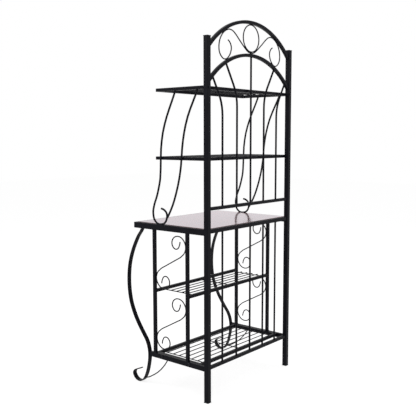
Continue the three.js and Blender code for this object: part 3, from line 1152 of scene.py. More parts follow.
@dataclass
class BackFrame:
    """The arches, cross rails and bars between the posts.

    Attributes:
        rise: How far an arch rises between the posts.
        bend_drop: How far under the inner arch a fanned bar's two straight lines meet.
        bend_radius: Radius of its bend.
        bend_angle: How far it bends.
        sink: How far a bar runs into the arch.
        overrun: How far an arch is bent past its ends before it is sawn.
        span: The arches' half width, between the posts.
        radius: Radius of their middle line.
    """

    tube: float = 16 * MM
    rod: float = 10 * MM
    edge: float = 1.6 * MM
    rise: float = 142 * MM
    bend_drop: float = 186 * MM
    bend_radius: float = 200 * MM
    bend_angle: float = math.radians(31)
    bar_count: int = 5
    sink: float = 0.6 * MM
    overrun: float = math.radians(1.2)
    arch_step: float = math.radians(1.2)
    span: float = field(init=False)
    radius: float = field(init=False)
    plane_y: float = field(default_factory=back_plane)
    welds: Welder = field(default_factory=lambda: Welder("back_frame_welds"))

    def __post_init__(self) -> None:
        """Works out the arches' half span between the posts, and their radius."""
        self.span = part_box("upper_post_right")[0].x
        self.radius = (self.span**2 + self.rise**2) / (2 * self.rise)

    def build(self) -> None:
        """Models and dresses the frame's pieces and welds."""
        dress_tubes(self.edge, ("cross_rail", "bottom_back_rail"), ("worktop_back_rail",))
        for rail in ("cross_rail", "worktop_back_rail", "bottom_back_rail"):
            self.welds.tube_ends(*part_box(rail))
        arches = ("inner_arch", "outer_arch")
        dress_alike(self.arch(arches[0]), POWDER_COAT, arches)
        slant = self.tube / math.cos(self.lean(self.span))
        for arch in arches:
            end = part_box(arch)[1].x
            for side, _ in SIDES:
                at = Vector((side * end, self.plane_y, self.height(arch, self.span)))
                self.welds.square_joint(at, ACROSS, self.tube, slant)
        bars = [f"lower_bar_{number + 1}" for number in range(self.bar_count)]
        low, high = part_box(bars[0])
        ends = (complex(middle_of(bars[0]).x, level) for level in (low.z, high.z))
        dress_alike(self.bar(bars[0], [Bend.straight(*ends)]), POWDER_COAT, bars)
        for lower in bars:
            upper = lower.replace("lower", "upper")
            x = middle_of(lower).x
            dress(self.upper_bar(upper, x), POWDER_COAT, upper)
            for level in (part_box(upper)[0].z, low.z, high.z):
                self.welds.round_joint(Vector((x, self.plane_y, level)), UP, self.rod / 2)
        self.welds.finish()

    def centre(self, arch: str) -> Point:
        """Gives the centre of an arch's circle."""
        return complex(0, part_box(arch)[1].z - self.tube / 2 - self.radius)

    def height(self, arch: str, x: float) -> float:
        """Gives the height of an arch's middle line over a point of the width."""
        return self.centre(arch).imag + math.sqrt(self.radius**2 - x**2)

    def lean(self, x: float) -> float:
        """Gives how far an arch leans over a point of the width, as an angle."""
        return math.asin(x / self.radius)

    def arch(self, node: str) -> Piece:
        """Models an arch of square tube between the posts' inner faces.

        Args:
            node: The CAD node.

        Returns:
            The arch.
        """
        half = self.lean(self.span) + self.overrun
        start = cmath.rect(self.radius, math.pi / 2 + half) + self.centre(node)
        section = (self.tube, self.tube, self.edge)
        maker = BentPiece(f"{node}_tube", Plane.BACK, self.plane_y, *section, step=self.arch_step)
        arch = maker.build([Bend(start, half, -2 * half, 2 * half * self.radius)])
        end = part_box(node)[1].x
        for side, _ in SIDES:
            trim(arch, (side * end, 0, 0), (side, 0, 0))
        return arch

    def bar(self, node: str, bends: Sequence[Bend]) -> Piece:
        """Models a bar of round rod along its bends."""
        return BentPiece(f"{node}_rod", Plane.BACK, self.plane_y, self.rod).build(bends)

    def upper_bar(self, node: str, x: float) -> Piece:
        """Models a bar of the back: upright, bent outwards once, then straight to the inner arch.

        Args:
            node: The CAD node.
            x: Where its upright part stands.

        Returns:
            The bar.
        """
        foot = complex(x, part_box(node)[0].z)
        centre = self.centre("inner_arch")
        under = self.radius - self.tube / 2
        if abs(x) < self.rod:
            top = centre + under * 1j
            self.welds.round_joint(Vector((0, self.plane_y, top.imag)), UP, self.rod / 2)
            return self.bar(node, [Bend.straight(foot, top + self.sink * 1j)])
        way = math.copysign(1, x)
        knee = self.height("inner_arch", x) - self.bend_drop
        low_end = complex(x, knee - self.bend_radius * math.tan(self.bend_angle / 2))
        length = self.bend_radius * self.bend_angle
        arc = Bend(low_end, math.pi / 2, -way * self.bend_angle, length)
        ahead = cmath.rect(1, arc.last_heading)
        along = ((arc.end - centre) * ahead.conjugate()).real
        reach = math.sqrt(along**2 - abs(arc.end - centre) ** 2 + under**2) - along
        end = Plane.BACK.point(self.plane_y, arc.end + reach * ahead)
        self.welds.round_joint(end, Plane.BACK.way(arc.last_heading), self.rod / 2)
        lean = Bend(arc.end, arc.last_heading, 0.0, reach + self.sink)
        return self.bar(node, [Bend.straight(foot, low_end), arc, lean])


@dataclass
class Crest:
    """The ring and the scroll wire between the two arches.

    Attributes:
        back: The frame that carries them.
        hug: How far round the ring, on either side, the scroll wire follows it.
        gap: Room for the weld between the ring and the scroll wire.
        arch_gap: Room for the weld between the scroll wire and the arches.
        butt_swell: How far the butt weld that closes the ring stands proud.
        butt_reach: How far that weld reaches, as a share of the wire's diameter.
        touch: Place of the touch on the outer and on the inner arch, across as in shares.
        shares: The right half of the scroll, across as a share of the half span, and up as a
            share of the way from resting on the inner arch to touching the outer one.
    """

    back: BackFrame
    wire: float = 6 * MM
    wire_step: tuple[int, int] = (96, 16)
    hug: float = math.radians(40)
    gap: float = 0.5 * MM
    arch_gap: float = 0.3 * MM
    butt_swell: float = 0.25 * MM
    butt_reach: float = 0.62
    end_round: float = 0.5 * MM
    tack_size: Pair = (13 * MM, 3.4 * MM)
    touch: Pair = (0.625, 0.605)
    shares: tuple[Pair, ...] = (
        (0.23, 0.33), (0.307, 0.51), (0.385, 0.71), (0.46, 0.87), (0.535, 0.965), (0.6, 0.995),
        (0.66, 0.99), (0.72, 0.93), (0.762, 0.8), (0.775, 0.63), (0.762, 0.42), (0.72, 0.22),
        (0.66, 0.06), (0.6, 0.005), (0.545, 0.04), (0.502, 0.15), (0.488, 0.31), (0.51, 0.46),
        (0.565, 0.62),
    )

    def build(self) -> None:
        """Models and dresses the ring, the scroll and their welds."""
        dress(self.ring(), POWDER_COAT, "crest_ring")
        dress(self.scroll(), POWDER_COAT, "crest_scroll")
        self.weld()

    def ring(self) -> Piece:
        """Models the ring, with the butt weld that closes it at the bottom.

        Returns:
            The ring.
        """
        low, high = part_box("crest_ring")
        middle = (low + high) / 2
        radius = (high.z - low.z - self.wire) / 2
        bpy.ops.mesh.primitive_torus_add(
            major_segments=self.wire_step[0],
            minor_segments=self.wire_step[1],
            major_radius=radius,
            minor_radius=self.wire / 2,
            location=middle,
            rotation=(math.pi / 2, 0, 0),
        )
        ring = started("crest_ring_wire")
        butt = middle - UP * radius
        far = self.butt_reach * self.wire
        with editing(ring):
            select(ring, Parts.FACES, lambda face: (face.calc_center_median() - butt).length < far)
            bpy.ops.transform.shrink_fatten(value=self.butt_swell)
        return ring

    def scroll(self) -> Piece:
        """Models the scroll wire, spiralled at both ends and wrapped under the ring.

        Returns:
            The wire.
        """
        back = self.back
        offset = back.tube / 2 + self.arch_gap + self.wire / 2
        right = []
        for across, up in self.shares:
            x = across * back.span
            slant = offset / math.cos(back.lean(x))
            low = back.height("inner_arch", x) + slant
            high = back.height("outer_arch", x) - slant
            right.append(complex(x, low + up * (high - low)))
        left = [-point.conjugate() for point in reversed(right)]
        low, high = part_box("crest_ring")
        middle = complex(0, (low.z + high.z) / 2)
        under = (high.z - low.z + self.wire) / 2 + self.gap
        wrap = [
            middle + cmath.rect(under, share * self.hug - math.pi / 2)
            for share in (-1, -0.5, 0, 0.5, 1)
        ]
        maker = BentPiece("crest_scroll_wire", Plane.BACK, back.plane_y, self.wire)
        wire = maker.build(Route([*left, *wrap, *right]).bends())
        round_edges(wire, self.end_round, END_STEPS)
        return wire

    def weld(self) -> None:
        """Lays the tacks where the ring, the scroll and the arches touch."""
        back, welds = self.back, Welder("crest_welds")
        low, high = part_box("crest_ring")
        for level in (low.z - self.gap / 2, low.z - self.gap - self.wire, high.z):
            welds.tack(Vector((0, back.plane_y, level)), ACROSS, *self.tack_size)
        outer, inner = self.touch
        for arch, share, side in (("outer_arch", outer, -1), ("inner_arch", inner, 1)):
            x = share * back.span
            lean = back.lean(x)
            z = back.height(arch, x) + side * back.tube / 2 / math.cos(lean)
            for hand, _ in SIDES:
                way = Vector((math.cos(lean), 0, -hand * math.sin(lean)))
                welds.tack(Vector((hand * x, back.plane_y, z)), way, *self.tack_size)
        welds.finish()


@dataclass
class Worktop:
    """The mitred frame of upright tube and the lacquered board in it.

    Attributes:
        seam: Half the width of the seam at a mitre.
        clearance: Room round the board.
        notch: Size of the block that notches the board at a post.
    """

    tube: float = 16 * MM
    edge: float = 1.8 * MM
    seam: float = 0.1 * MM
    board_edge: float = 0.5 * MM
    ledge: float = 12 * MM
    ledge_thickness: float = 2 * MM
    ledge_edge: float = 0.5 * MM
    clearance: float = 0.3 * MM
    notch: float = 40 * MM
    welds: Welder = field(default_factory=lambda: Welder("worktop_welds"))

    def build(self) -> None:
        """Models and dresses the frame's rails, the board and the welds."""
        low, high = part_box("worktop_front_rail")
        front = tube_in_box("worktop_front_rail_tube", low, high, self.edge)
        nodes = pair("worktop_side_rail")
        right = self.side_rail(nodes[0])
        # The left rail is the mirror image of the right one.
        left = copied(right, right.name.replace(*nodes), Vector())
        left.scale.x = -1
        for rail, node in zip((right, left), nodes):
            dress(rail, POWDER_COAT, node)
        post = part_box(nodes[0])[1].y
        for side, name in SIDES:
            self.mitre(front, side, 1)
            at = Vector((middle_of(f"lower_post_{name}").x, post, (low.z + high.z) / 2))
            self.welds.square_joint(at, ALONG, self.tube, high.z - low.z)
        dress(front, POWDER_COAT, "worktop_front_rail")
        dress(self.board(), CHERRY, "worktop_board")
        self.welds.finish()

    def mitre(self, rail: Piece, side: int, keep: int) -> None:
        """Saws a rail along the diagonal of a front corner.

        Args:
            rail: The rail.
            side: The corner's side, 1 or -1.
            keep: 1 for the front rail, -1 for a side rail.
        """
        low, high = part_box("worktop_front_rail")
        outward = Vector((side, 1, 0)).normalized() * keep
        corner = Vector((side * high.x, low.y, 0))
        trim(rail, corner - outward * self.seam, outward)

    def side_rail(self, node: str) -> Piece:
        """Models the right side rail with the ledge that carries the board.

        Args:
            node: The CAD node.

        Returns:
            The rail and its ledge.
        """
        low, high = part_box(node)
        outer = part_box("worktop_front_rail")[1].x
        inner = outer - self.tube
        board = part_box("worktop_board")[0]
        top = board.z - self.clearance
        rail_low, rail_high = Vector((inner, low.y, low.z)), Vector((outer, high.y, high.z))
        rail = tube_in_box(f"{node}_tube", rail_low, rail_high, self.edge)
        self.mitre(rail, 1, -1)
        ledge_low = Vector((inner - self.ledge, board.y, top - self.ledge_thickness))
        ledge_high = Vector((inner, high.y, top))
        ledge = tube_in_box(f"{node}_ledge", ledge_low, ledge_high, self.ledge_edge)
        return joined([rail, ledge], f"{node}_tube")

    def board(self) -> Piece:
        """Models the board, notched round the posts, with its edges eased.

        Returns:
            The board.
        """
        low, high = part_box("worktop_board")
        board = slab("worktop_board_panel", low, high)
        for side, name in SIDES:
            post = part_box(f"lower_post_{name}")
            inner = abs(post[0].x if side > 0 else post[1].x) - self.clearance
            front = post[0].y - self.clearance
            middle = Vector((side * (inner + self.notch / 2), front + self.notch / 2, high.z))
            bpy.ops.mesh.primitive_cube_add(size=self.notch, location=middle)
            cut_out(board, bpy.context.object)
        round_edges(board, self.board_edge)
        return board


@dataclass
class SideBars:
    """What the bars at the sides share: the worktop's reach in front of the posts' middle."""

    reach: float = 490 * MM
    plane_y: float = field(default_factory=back_plane)

    def level(self, share: float) -> float:
        """Places a forward share of the reach."""
        return self.plane_y - share * self.reach


@dataclass
class SideFrames(SideBars):
    """Both sides under the worktop: leg, tubes, bottom rail, scrolls and foot brace.

    The right side is modelled and welded, and the left one is its copy.

    Attributes:
        sawn_stretch: How much longer the leaning leg's sawn end is than the bar is thick.
        sink: How far the brace runs into the rail.
        touch: How far up a scroll it touches the rear tube.
        leg_shares: The leg's middle line, forward as a share of the reach, and up as a share of
            the height under the worktop.
        brace_shares: The brace's, with up as a share of the height under the bottom rail.
        scroll_shares: Half of a scroll, front to back between the tubes, and up its height.
        x: The right side's plane.
    """

    leg_width: float = 25 * MM
    leg_thickness: float = 5 * MM
    leg_edge: float = 1.0 * MM
    leg_step: float = math.radians(4)
    sawn_stretch: float = 1.3
    tube: float = 16 * MM
    wire: float = 6 * MM
    edge: float = 1.6 * MM
    end_round: float = 0.5 * MM
    sink: float = 0.5 * MM
    touch: float = 0.82
    tack_size: Pair = (12 * MM, 3.2 * MM)
    leg_shares: tuple[Pair, ...] = (
        (0.862, 1.0363), (0.8866, 1.0), (0.957, 0.9417), (1.007, 0.8879), (1.049, 0.8325),
        (1.078, 0.7787), (1.095, 0.7254), (1.102, 0.6716), (1.101, 0.6187), (1.0915, 0.5674),
        (1.0725, 0.5156), (1.041, 0.4665), (0.999, 0.4175), (0.948, 0.371), (0.889, 0.3245),
        (0.833, 0.2792), (0.8035, 0.2302), (0.7985, 0.1791), (0.8133, 0.1212), (0.8367, 0.073),
        (0.865, 0.0377), (0.9, 0.0131), (0.947, 0.0036), (0.994, 0.0109), (1.0245, 0.028),
        (1.0347, 0.0458), (1.0204, 0.0629), (0.9796, 0.076), (0.9306, 0.0877),
    )
    brace_shares: tuple[Pair, ...] = (
        (0.8732, 0.165), (0.8175, 0.225), (0.7585, 0.329), (0.6975, 0.456), (0.6384, 0.617),
        (0.5816, 0.818), (0.54, 1.01),
    )
    scroll_shares: tuple[Pair, ...] = (
        (0.185, 0.905), (0.205, 0.835), (0.265, 0.775), (0.345, 0.765), (0.42, 0.8),
        (0.455, 0.865), (0.425, 0.94), (0.35, 0.985), (0.255, 1.0), (0.14, 0.98),
        (0.045, 0.915), (0.0, 0.82), (0.03, 0.73), (0.15, 0.64), (0.32, 0.57),
    )
    x: float = field(default_factory=lambda: middle_of("side_tube_front_right").x)
    welds: Welder = field(default_factory=lambda: Welder("side_frame_welds_right"))

    def build(self) -> None:
        """Models and dresses the pieces and welds of both sides."""
        rails, legs, braces = map(pair, ("bottom_side_rail", "front_leg", "foot_brace"))
        tubes = (*pair("side_tube_front"), *pair("side_tube_rear"))
        scrolls = (*pair("side_scroll_upper"), *pair("side_scroll_lower"))
        dress_tubes(self.edge, rails, tubes)
        for node in (rails[0], *tubes[::2]):
            self.welds.tube_ends(*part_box(node))
        dress_alike(self.leg(legs[0]), POWDER_COAT, legs)
        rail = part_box(rails[0])[0].z
        dress_alike(self.brace(braces[0], rail), POWDER_COAT, braces)
        dress_alike(self.scroll(scrolls[0]), POWDER_COAT, scrolls)
        for node in scrolls[::2]:
            low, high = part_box(node)
            for y, share in ((high.y, self.touch), (low.y, 1 - self.touch)):
                up = low.z + self.wire / 2 + (high.z - low.z - self.wire) * share
                self.welds.tack(Vector((self.x, y, up)), UP, *self.tack_size)
        welds = self.welds.whole()
        shift = middle_of(rails[1]) - middle_of(rails[0])
        dress(copied(welds, welds.name.replace("right", "left"), shift), POWDER_COAT)
        dress(welds, POWDER_COAT)

    def leg(self, node: str) -> Piece:
        """Models the leg of flat bar, sawn level under the worktop.

        Args:
            node: The CAD node.

        Returns:
            The leg.
        """
        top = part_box(node)[1].z
        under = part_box("worktop_front_rail")[0].z
        route = Route.scaled(self.leg_shares, self.level, lambda share: share * under)
        section = (self.leg_width, self.leg_thickness, self.leg_edge)
        maker = BentPiece(f"{node}_bar", Plane.SIDE, self.x, *section, step=self.leg_step)
        leg = maker.build(route.bends())
        trim(leg, (0, 0, top), UP)
        at = Vector((self.x, route.crossing(under), top))
        self.welds.square_joint(at, UP, self.tube, self.leg_thickness * self.sawn_stretch)
        return leg

    def brace(self, node: str, rail: float) -> Piece:
        """Models the wire from the foot to the bottom rail.

        Args:
            node: The CAD node.
            rail: Height of the rail's underside.

        Returns:
            The brace.
        """
        bends = Route.scaled(self.brace_shares, self.level, lambda share: share * rail).bends()
        brace = BentPiece(f"{node}_wire", Plane.SIDE, self.x, self.wire).build(bends)
        trim(brace, (0, 0, rail + self.sink), UP)
        low_end = Plane.SIDE.point(self.x, bends[0].start)
        high_end = Vector((self.x, self.level(self.brace_shares[-1][0]), rail))
        for at, heading in ((low_end, bends[0].heading), (high_end, bends[-1].last_heading)):
            self.welds.round_joint(at, Plane.SIDE.way(heading), self.wire / 2, fine=True)
        return brace

    def scroll(self, node: str) -> Piece:
        """Models an S-shaped scroll between the side tubes.

        Args:
            node: The CAD node.

        Returns:
            The scroll.
        """
        low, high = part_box(node)
        back, front = high.y - self.wire / 2, low.y + self.wire / 2
        bottom = low.z + self.wire / 2
        height = high.z - low.z - self.wire
        turned = [(1 - a, 1 - b) for a, b in reversed(self.scroll_shares)]
        route = Route.scaled(
            [*self.scroll_shares, (0.5, 0.5), *turned],
            lambda share: back + (front - back) * share,
            lambda share: bottom + height * share,
        )
        wire = BentPiece(f"{node}_wire", Plane.SIDE, self.x, self.wire).build(route.bends())
        round_edges(wire, self.end_round, END_STEPS)
        return wire


@dataclass
class BowRods(SideBars):
    """The bowed rods beside the upper shelves, the front ones curled under on the worktop.

    Attributes:
        sink: How far a rod runs into the shelf and the worktop's rail.
        seat_tack_size: Length and width of the tack under a curl.
        front_shares: The front rods, forward as a share of the reach, and up as a share of the
            height from the worktop's frame to the top shelf.
        rear_shares: The rear rods.
    """

    rod: float = 10 * MM
    sink: float = 0.3 * MM
    tack_size: Pair = (16 * MM, 5 * MM)
    seat_tack_size: Pair = (38 * MM, 11.4 * MM)
    front_shares: tuple[Pair, ...] = (
        (0.4, 1.02), (0.417, 0.988), (0.453, 0.93), (0.527, 0.815), (0.582, 0.697),
        (0.609, 0.577), (0.617, 0.427), (0.628, 0.336), (0.649, 0.273), (0.676, 0.211),
        (0.712, 0.148), (0.729, 0.086), (0.708, 0.03), (0.663, 0.0046), (0.618, 0.0027),
        (0.57, 0.0133), (0.538, 0.0475), (0.539, 0.0905), (0.573, 0.1145), (0.612, 0.1228),
    )
    rear_shares: tuple[Pair, ...] = (
        (0.11, 1.02), (0.143, 0.965), (0.173, 0.923), (0.2465, 0.8115), (0.295, 0.695),
        (0.322, 0.58), (0.337, 0.462), (0.35, 0.403), (0.367, 0.344), (0.39, 0.283),
        (0.417, 0.223), (0.451, 0.16), (0.495, 0.098), (0.529, 0.057),
    )
    welds: Welder = field(default_factory=lambda: Welder("bow_rod_welds"))

    def build(self) -> None:
        """Models and dresses the rods of both sides, and their welds."""
        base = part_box("worktop_side_rail_right")[1].z
        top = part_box("top_shelf")[0].z
        routes = []
        for place, shares in (("front", self.front_shares), ("rear", self.rear_shares)):
            route = Route.scaled(shares, self.level, lambda share: base + share * (top - base))
            nodes = pair(f"bow_rod_{place}")
            dress_alike(self.bow(nodes[0], route, base, top), POWDER_COAT, nodes)
            routes.append(route)
        seat = min(self.front_shares, key=lambda share: share[1])
        shelf, edge = middle_of("mid_shelf").z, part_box("mid_shelf")[1].x
        for side, name in SIDES:
            x = middle_of(f"bow_rod_front_{name}").x
            for route in routes:
                self.welds.round_joint(Vector((x, route.crossing(top), top)), UP, self.rod / 2)
                at = Vector((side * edge, route.crossing(shelf), shelf))
                self.welds.tack(at, UP, *self.tack_size)
            at = Vector((x, self.level(seat[0]), base))
            self.welds.tack(at, ALONG, *self.seat_tack_size)
        self.welds.finish()

    def bow(self, node: str, route: Route, base: float, top: float) -> Piece:
        """Models one rod, flattened where its curl sits on the worktop's rail.

        Args:
            node: The CAD node.
            route: The rod's route.
            base: Height of the rail's top.
            top: Height of the shelf's underside.

        Returns:
            The rod.
        """
        x = middle_of(node).x
        rod = BentPiece(f"{node}_bar", Plane.SIDE, x, self.rod).build(route.bends())
        trim(rod, (0, 0, base - self.sink), -UP)
        trim(rod, (0, 0, top + self.sink), UP)
        return rod


@dataclass
class WireShelf:
    """A welded shelf: square-tube frame, long wires, and cross wires under them.

    Attributes:
        node: The CAD node that the shelf stands for.
        framed: Whether it has a closed frame, or only a front and a rear rail.
        pitch: Aimed-at distance between the long wires.
        inset: Distance of the end cross wires from the side tubes' middle.
        overhang: How far the long wires run past them.
        drop: How far the cross wires' middle lies under that of the long ones.
    """

    node: str
    framed: bool = True
    tube: float = 16 * MM
    wire: float = 5 * MM
    edge: float = 1.6 * MM
    pitch: float = 40 * MM
    inset: float = 52 * MM
    overhang: float = 8 * MM
    drop: float = 4.5 * MM
    end_round: float = 0.5 * MM
    sides: int = 16
    low: Vector = field(init=False)
    high: Vector = field(init=False)
    welds: Welder = field(init=False)

    def __post_init__(self) -> None:
        """Takes the shelf's corners from the CAD frame, and names its welds."""
        self.low, self.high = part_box(self.node)
        self.welds = Welder(f"{self.node}_welds")

    def build(self) -> None:
        """Models and dresses the frame, the wires and the welds."""
        dress(self.ring() if self.framed else self.rails(), POWDER_COAT, self.node)
        dress(self.grille(), POWDER_COAT, self.node)
        self.welds.finish()

    def ring(self) -> Piece:
        """Models the closed frame: a slab whose middle is bridged out.

        Returns:
            The frame.
        """
        ring = slab(f"{self.node}_frame", self.low, self.high)
        with editing(ring):
            select(ring, Parts.FACES, lambda face: abs(face.normal.z) > FACING)
            bpy.ops.mesh.inset(thickness=self.tube, use_individual=True)
            bpy.ops.mesh.bridge_edge_loops()
        round_edges(ring, self.edge, ROLLED_STEPS)
        return ring

    def rails(self) -> Piece:
        """Models the front and the rear rail, welded to the side tubes at their ends.

        Returns:
            Both rails as one piece.
        """
        low, high = self.low, self.high
        name = f"{self.node}_frame"
        front = tube_in_box(name, low, Vector((high.x, low.y + self.tube, high.z)), self.edge)
        rear = copied(front, name, ALONG * (high.y - low.y - self.tube))
        for x in (low.x, high.x):
            for y in (low.y + self.tube / 2, high.y - self.tube / 2):
                at = Vector((x, y, (low.z + high.z) / 2))
                self.welds.square_joint(at, ACROSS, self.tube, self.tube)
        return joined([front, rear], name)

    def grille(self) -> Piece:
        """Models the long wires and the cross wires, welded to the rails at their ends.

        Returns:
            All wires as one piece.
        """
        front, back = self.low.y + self.tube / 2, self.high.y - self.tube / 2
        bays = round((back - front) / self.pitch)
        step = (back - front) / bays
        end = middle_of("side_tube_front_right").x - self.inset
        level = self.high.z - self.wire / 2
        middle = (front + back) / 2
        clear = back - front - self.tube
        lie_across, lie_along = (0, math.pi / 2, 0), (math.pi / 2, 0, 0)
        long_wire = self.rod((0, front + step, level), 2 * (end + self.overhang), lie_across)
        cross_wire = self.rod((-end, middle, level - self.drop), clear, lie_along)
        crossings = (-end, 0, end)
        for x in crossings:
            for y in (middle - clear / 2, middle + clear / 2):
                at = Vector((x, y, level - self.drop))
                self.welds.round_joint(at, ALONG, self.wire / 2, fine=True)
        for wire, count, shift in (
            (long_wire, bays - 1, (0, step, 0)),
            (cross_wire, len(crossings), (end, 0, 0)),
        ):
            apply_modifier(
                wire,
                "ARRAY",
                count=count,
                use_relative_offset=False,
                use_constant_offset=True,
                constant_offset_displace=shift,
            )
        return joined([long_wire, cross_wire], f"{self.node}_wires")

    def rod(self, at: Spot, length: float, turn: Spot) -> Piece:
        """Models one straight wire with sheared ends.

        Args:
            at: Its middle.
            length: Its length.
            turn: Its turn, from upright.

        Returns:
            The wire.
        """
        bpy.ops.mesh.primitive_cylinder_add(
            vertices=self.sides, radius=self.wire / 2, depth=length, location=at, rotation=turn
        )
        wire = started(f"{self.node}_wires")
        round_edges(wire, self.end_round, END_STEPS)
        return wire


@dataclass
class Bolts:
    """The pan-head bolts that hold the top and bottom shelves.

    Attributes:
        crown_share: How much of the head's height is its sloping crown.
        crown_size: Width of the crown's top, as a share of the head's.
        key: Width of the hexagon socket across its flats.
    """

    head: float = 12 * MM
    head_height: float = 3.5 * MM
    crown_share: float = 0.45
    crown_size: float = 0.62
    shank: float = 6 * MM
    key: float = 4 * MM
    key_depth: float = 2 * MM
    edge: float = 0.4 * MM
    sides: int = 32
    key_sides: int = 6

    def build(self) -> None:
        """Models one bolt of each kind, and dresses it and its copies."""
        kinds = [(pair("top_shelf_bolt"), ALONG)]
        for side, name in SIDES:
            nodes = tuple(f"bottom_shelf_bolt_{place}_{name}" for place in ("front", "rear"))
            kinds.append((nodes, ACROSS * side))
        for nodes, outward in kinds:
            dress_alike(self.bolt(nodes[0], outward), BLACK_OXIDE, nodes)

    def bolt(self, node: str, outward: Vector) -> Piece:
        """Models a bolt, upright at first, and then turned into its hole.

        Args:
            node: The CAD node.
            outward: The way that its head faces.

        Returns:
            The bolt.
        """
        low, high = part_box(node)
        length = abs((high - low).dot(outward))
        shank = length - self.head_height
        bpy.ops.mesh.primitive_cylinder_add(
            vertices=self.sides, radius=self.shank / 2, depth=shank, location=(0, 0, shank / 2)
        )
        bolt = started(f"{node}_screw")
        crown = self.crown_share * self.head_height
        with editing(bolt):
            select(bolt, Parts.FACES, lambda face: face.normal.z > FACING)
            for rise, size in (
                (0.0, self.head / self.shank),
                (self.head_height - crown, 1.0),
                (crown, self.crown_size),
            ):
                bpy.ops.mesh.extrude_region_move(TRANSFORM_OT_translate={"value": (0, 0, rise)})
                bpy.ops.transform.resize(value=(size, size, 1), center_override=(0, 0, length))
        bpy.ops.mesh.primitive_cylinder_add(
            vertices=self.key_sides,
            radius=self.key / 2 / math.cos(math.pi / self.key_sides),
            depth=2 * self.key_depth,
            location=(0, 0, length),
        )
        cut_out(bolt, bpy.context.object)
        round_edges(bolt, self.edge, END_STEPS)
        turn = UP.rotation_difference(outward).to_matrix().to_4x4()
        tip = (low + high) / 2 - outward * length / 2
        bolt.matrix_world = Matrix.Translation(tip) @ turn
        return bolt


# Studio.


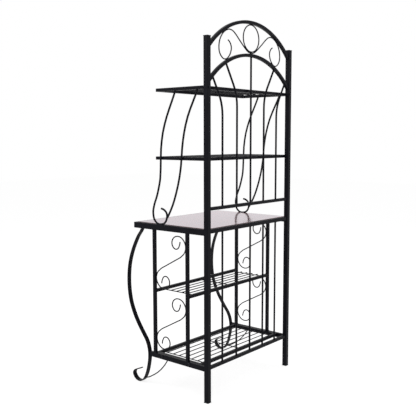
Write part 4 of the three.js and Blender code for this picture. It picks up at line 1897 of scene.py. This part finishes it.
@dataclass
class Studio:
    """Floor, lights, white surroundings and the camera of the photograph.

    Attributes:
        yaw: How far the camera is turned, from looking along -Y towards -X.
        pitch: How far it looks down.
        focal_pixels: Its focal length, in pixels of the photograph.
        photo_pixels: The photograph's width.
        lamps: Name, place, side and watts of each softbox.
        lamp_target: The point that the softboxes face.
        floor_paint: The floor's colour where it isn't seen.
        seen_paint: Its own share of white where it is seen; the rack's shadow falls on it.
        floor_glow: The rest of that white.
        world_light: Strength of the surroundings as light, where 1 is white.
    """

    eye: Spot = (2.7149, 2.2349, 1.2841)
    yaw: float = math.radians(50.3025)
    pitch: float = math.radians(6.090)
    roll: float = math.radians(-0.083)
    focal_pixels: float = 655.85
    photo_pixels: int = 416
    sensor_mm: float = 36.0
    far_end: float = 100.0
    lamps: tuple[tuple[str, Spot, float, float], ...] = (
        ("key_softbox", (2.2, -1.9, 3.0), 2.4, 40.0),
        ("fill_softbox", (2.6, 3.0, 2.4), 2.6, 30.0),
        ("top_softbox", (-1.2, 0.4, 3.8), 2.6, 34.0),
    )
    lamp_target: Spot = (0.0, 0.0, 0.9)
    floor_size: float = 30.0
    floor_drop: float = 0.2 * MM
    floor_paint: str = "#f4f4f4"
    seen_paint: str = "#a0a0a0"
    floor_glow: float = 0.78
    world_light: float = 0.6

    def build(self) -> None:
        """Sets up the floor, the lights, the surroundings and the camera."""
        self.floor()
        self.softboxes()
        self.surroundings()
        self.camera()
        bpy.context.scene.view_settings.view_transform = "Standard"

    def camera(self) -> None:
        """Adds the camera where the photograph was taken from."""
        level = Vector((-math.cos(self.yaw), math.sin(self.yaw), 0))
        onward = Vector((-math.sin(self.yaw), -math.cos(self.yaw), 0))
        ahead = onward * math.cos(self.pitch) - UP * math.sin(self.pitch)
        above = level.cross(ahead)
        right = level * math.cos(self.roll) + above * math.sin(self.roll)
        up = above * math.cos(self.roll) - level * math.sin(self.roll)
        data = bpy.data.cameras.new("photo_camera")
        data.sensor_width = self.sensor_mm
        data.lens = self.focal_pixels / self.photo_pixels * self.sensor_mm
        data.clip_end = self.far_end
        camera = bpy.data.objects.new("photo_camera", data)
        bpy.context.scene.collection.objects.link(camera)
        turn = Matrix((right, up, -ahead)).transposed().to_4x4()
        camera.matrix_world = Matrix.Translation(self.eye) @ turn
        bpy.context.scene.camera = camera

    def softboxes(self) -> None:
        """Adds the square softboxes, which face the rack."""
        for name, at, size, watts in self.lamps:
            data = bpy.data.lights.new(name, "AREA")
            data.shape = "SQUARE"
            data.size = size
            data.energy = watts
            lamp = bpy.data.objects.new(name, data)
            bpy.context.scene.collection.objects.link(lamp)
            lamp.location = at
            facing = Vector(self.lamp_target) - Vector(at)
            lamp.rotation_euler = facing.to_track_quat("-Z", "Y").to_euler()

    def floor(self) -> None:
        """Adds the white floor, on which the rack's soft shadow stays."""
        bpy.ops.mesh.primitive_plane_add(size=self.floor_size, location=-UP * self.floor_drop)
        floor = bpy.context.object
        floor.name = "studio_floor"
        material = bpy.data.materials.new("studio_floor_white")
        tree = cleared_tree(material)
        paint, seen_paint = (
            add_node(tree, "ShaderNodeBsdfDiffuse", {"Color": linear(code)}).outputs[0]
            for code in (self.floor_paint, self.seen_paint)
        )
        light = {"Color": linear("#ffffff"), "Strength": self.floor_glow}
        glow = add_node(tree, "ShaderNodeEmission", light).outputs[0]
        seen_floor = add_node(tree, "ShaderNodeAddShader", {0: seen_paint, 1: glow}).outputs[0]
        seen = self.any_ray(tree, "Is Camera Ray", "Is Glossy Ray")
        mixed = add_node(tree, "ShaderNodeMixShader", {0: seen, 1: paint, 2: seen_floor})
        add_node(tree, "ShaderNodeOutputMaterial", {"Surface": mixed.outputs[0]})
        floor.data.materials.append(material)

    def surroundings(self) -> None:
        """Sets the world: white where it is seen or mirrored, a soft grey as light."""
        world = bpy.data.worlds.new("white_sweep")
        bpy.context.scene.world = world
        tree = cleared_tree(world)
        seen = self.any_ray(tree, "Is Camera Ray", "Is Glossy Ray", "Is Transmission Ray")
        ends = dict(zip(RANGE_ENDS, (0.0, 1.0, self.world_light, 1.0)))
        strength = add_node(tree, "ShaderNodeMapRange", ends | {"Value": seen})
        light = {"Color": linear("#ffffff"), "Strength": strength.outputs["Result"]}
        background = add_node(tree, "ShaderNodeBackground", light)
        add_node(tree, "ShaderNodeOutputWorld", {"Surface": background.outputs[0]})

    def any_ray(self, tree: Tree, *kinds: str) -> Socket:
        """Gives 1 for rays of any of some kinds, and 0 for others.

        Args:
            tree: The node tree.
            kinds: The light path's outputs for them.

        Returns:
            The socket that says so.
        """
        rays = add_node(tree, "ShaderNodeLightPath").outputs
        seen = rays[kinds[0]]
        for kind in kinds[1:]:
            either = {0: seen, 1: rays[kind]}
            seen = add_node(tree, "ShaderNodeMath", either, operation="MAXIMUM").outputs[0]
        return seen


def main() -> None:
    logging.basicConfig(level=logging.INFO, format="%(name)s %(message)s")
    back = BackFrame()
    Posts().build()
    back.build()
    Crest(back).build()
    Worktop().build()
    SideFrames().build()
    BowRods().build()
    for place in ("top", "mid", "bottom", "lower"):
        WireShelf(f"{place}_shelf", framed=place != "lower").build()
    Bolts().build()
    Studio().build()


if __name__ == "__main__":
    main()
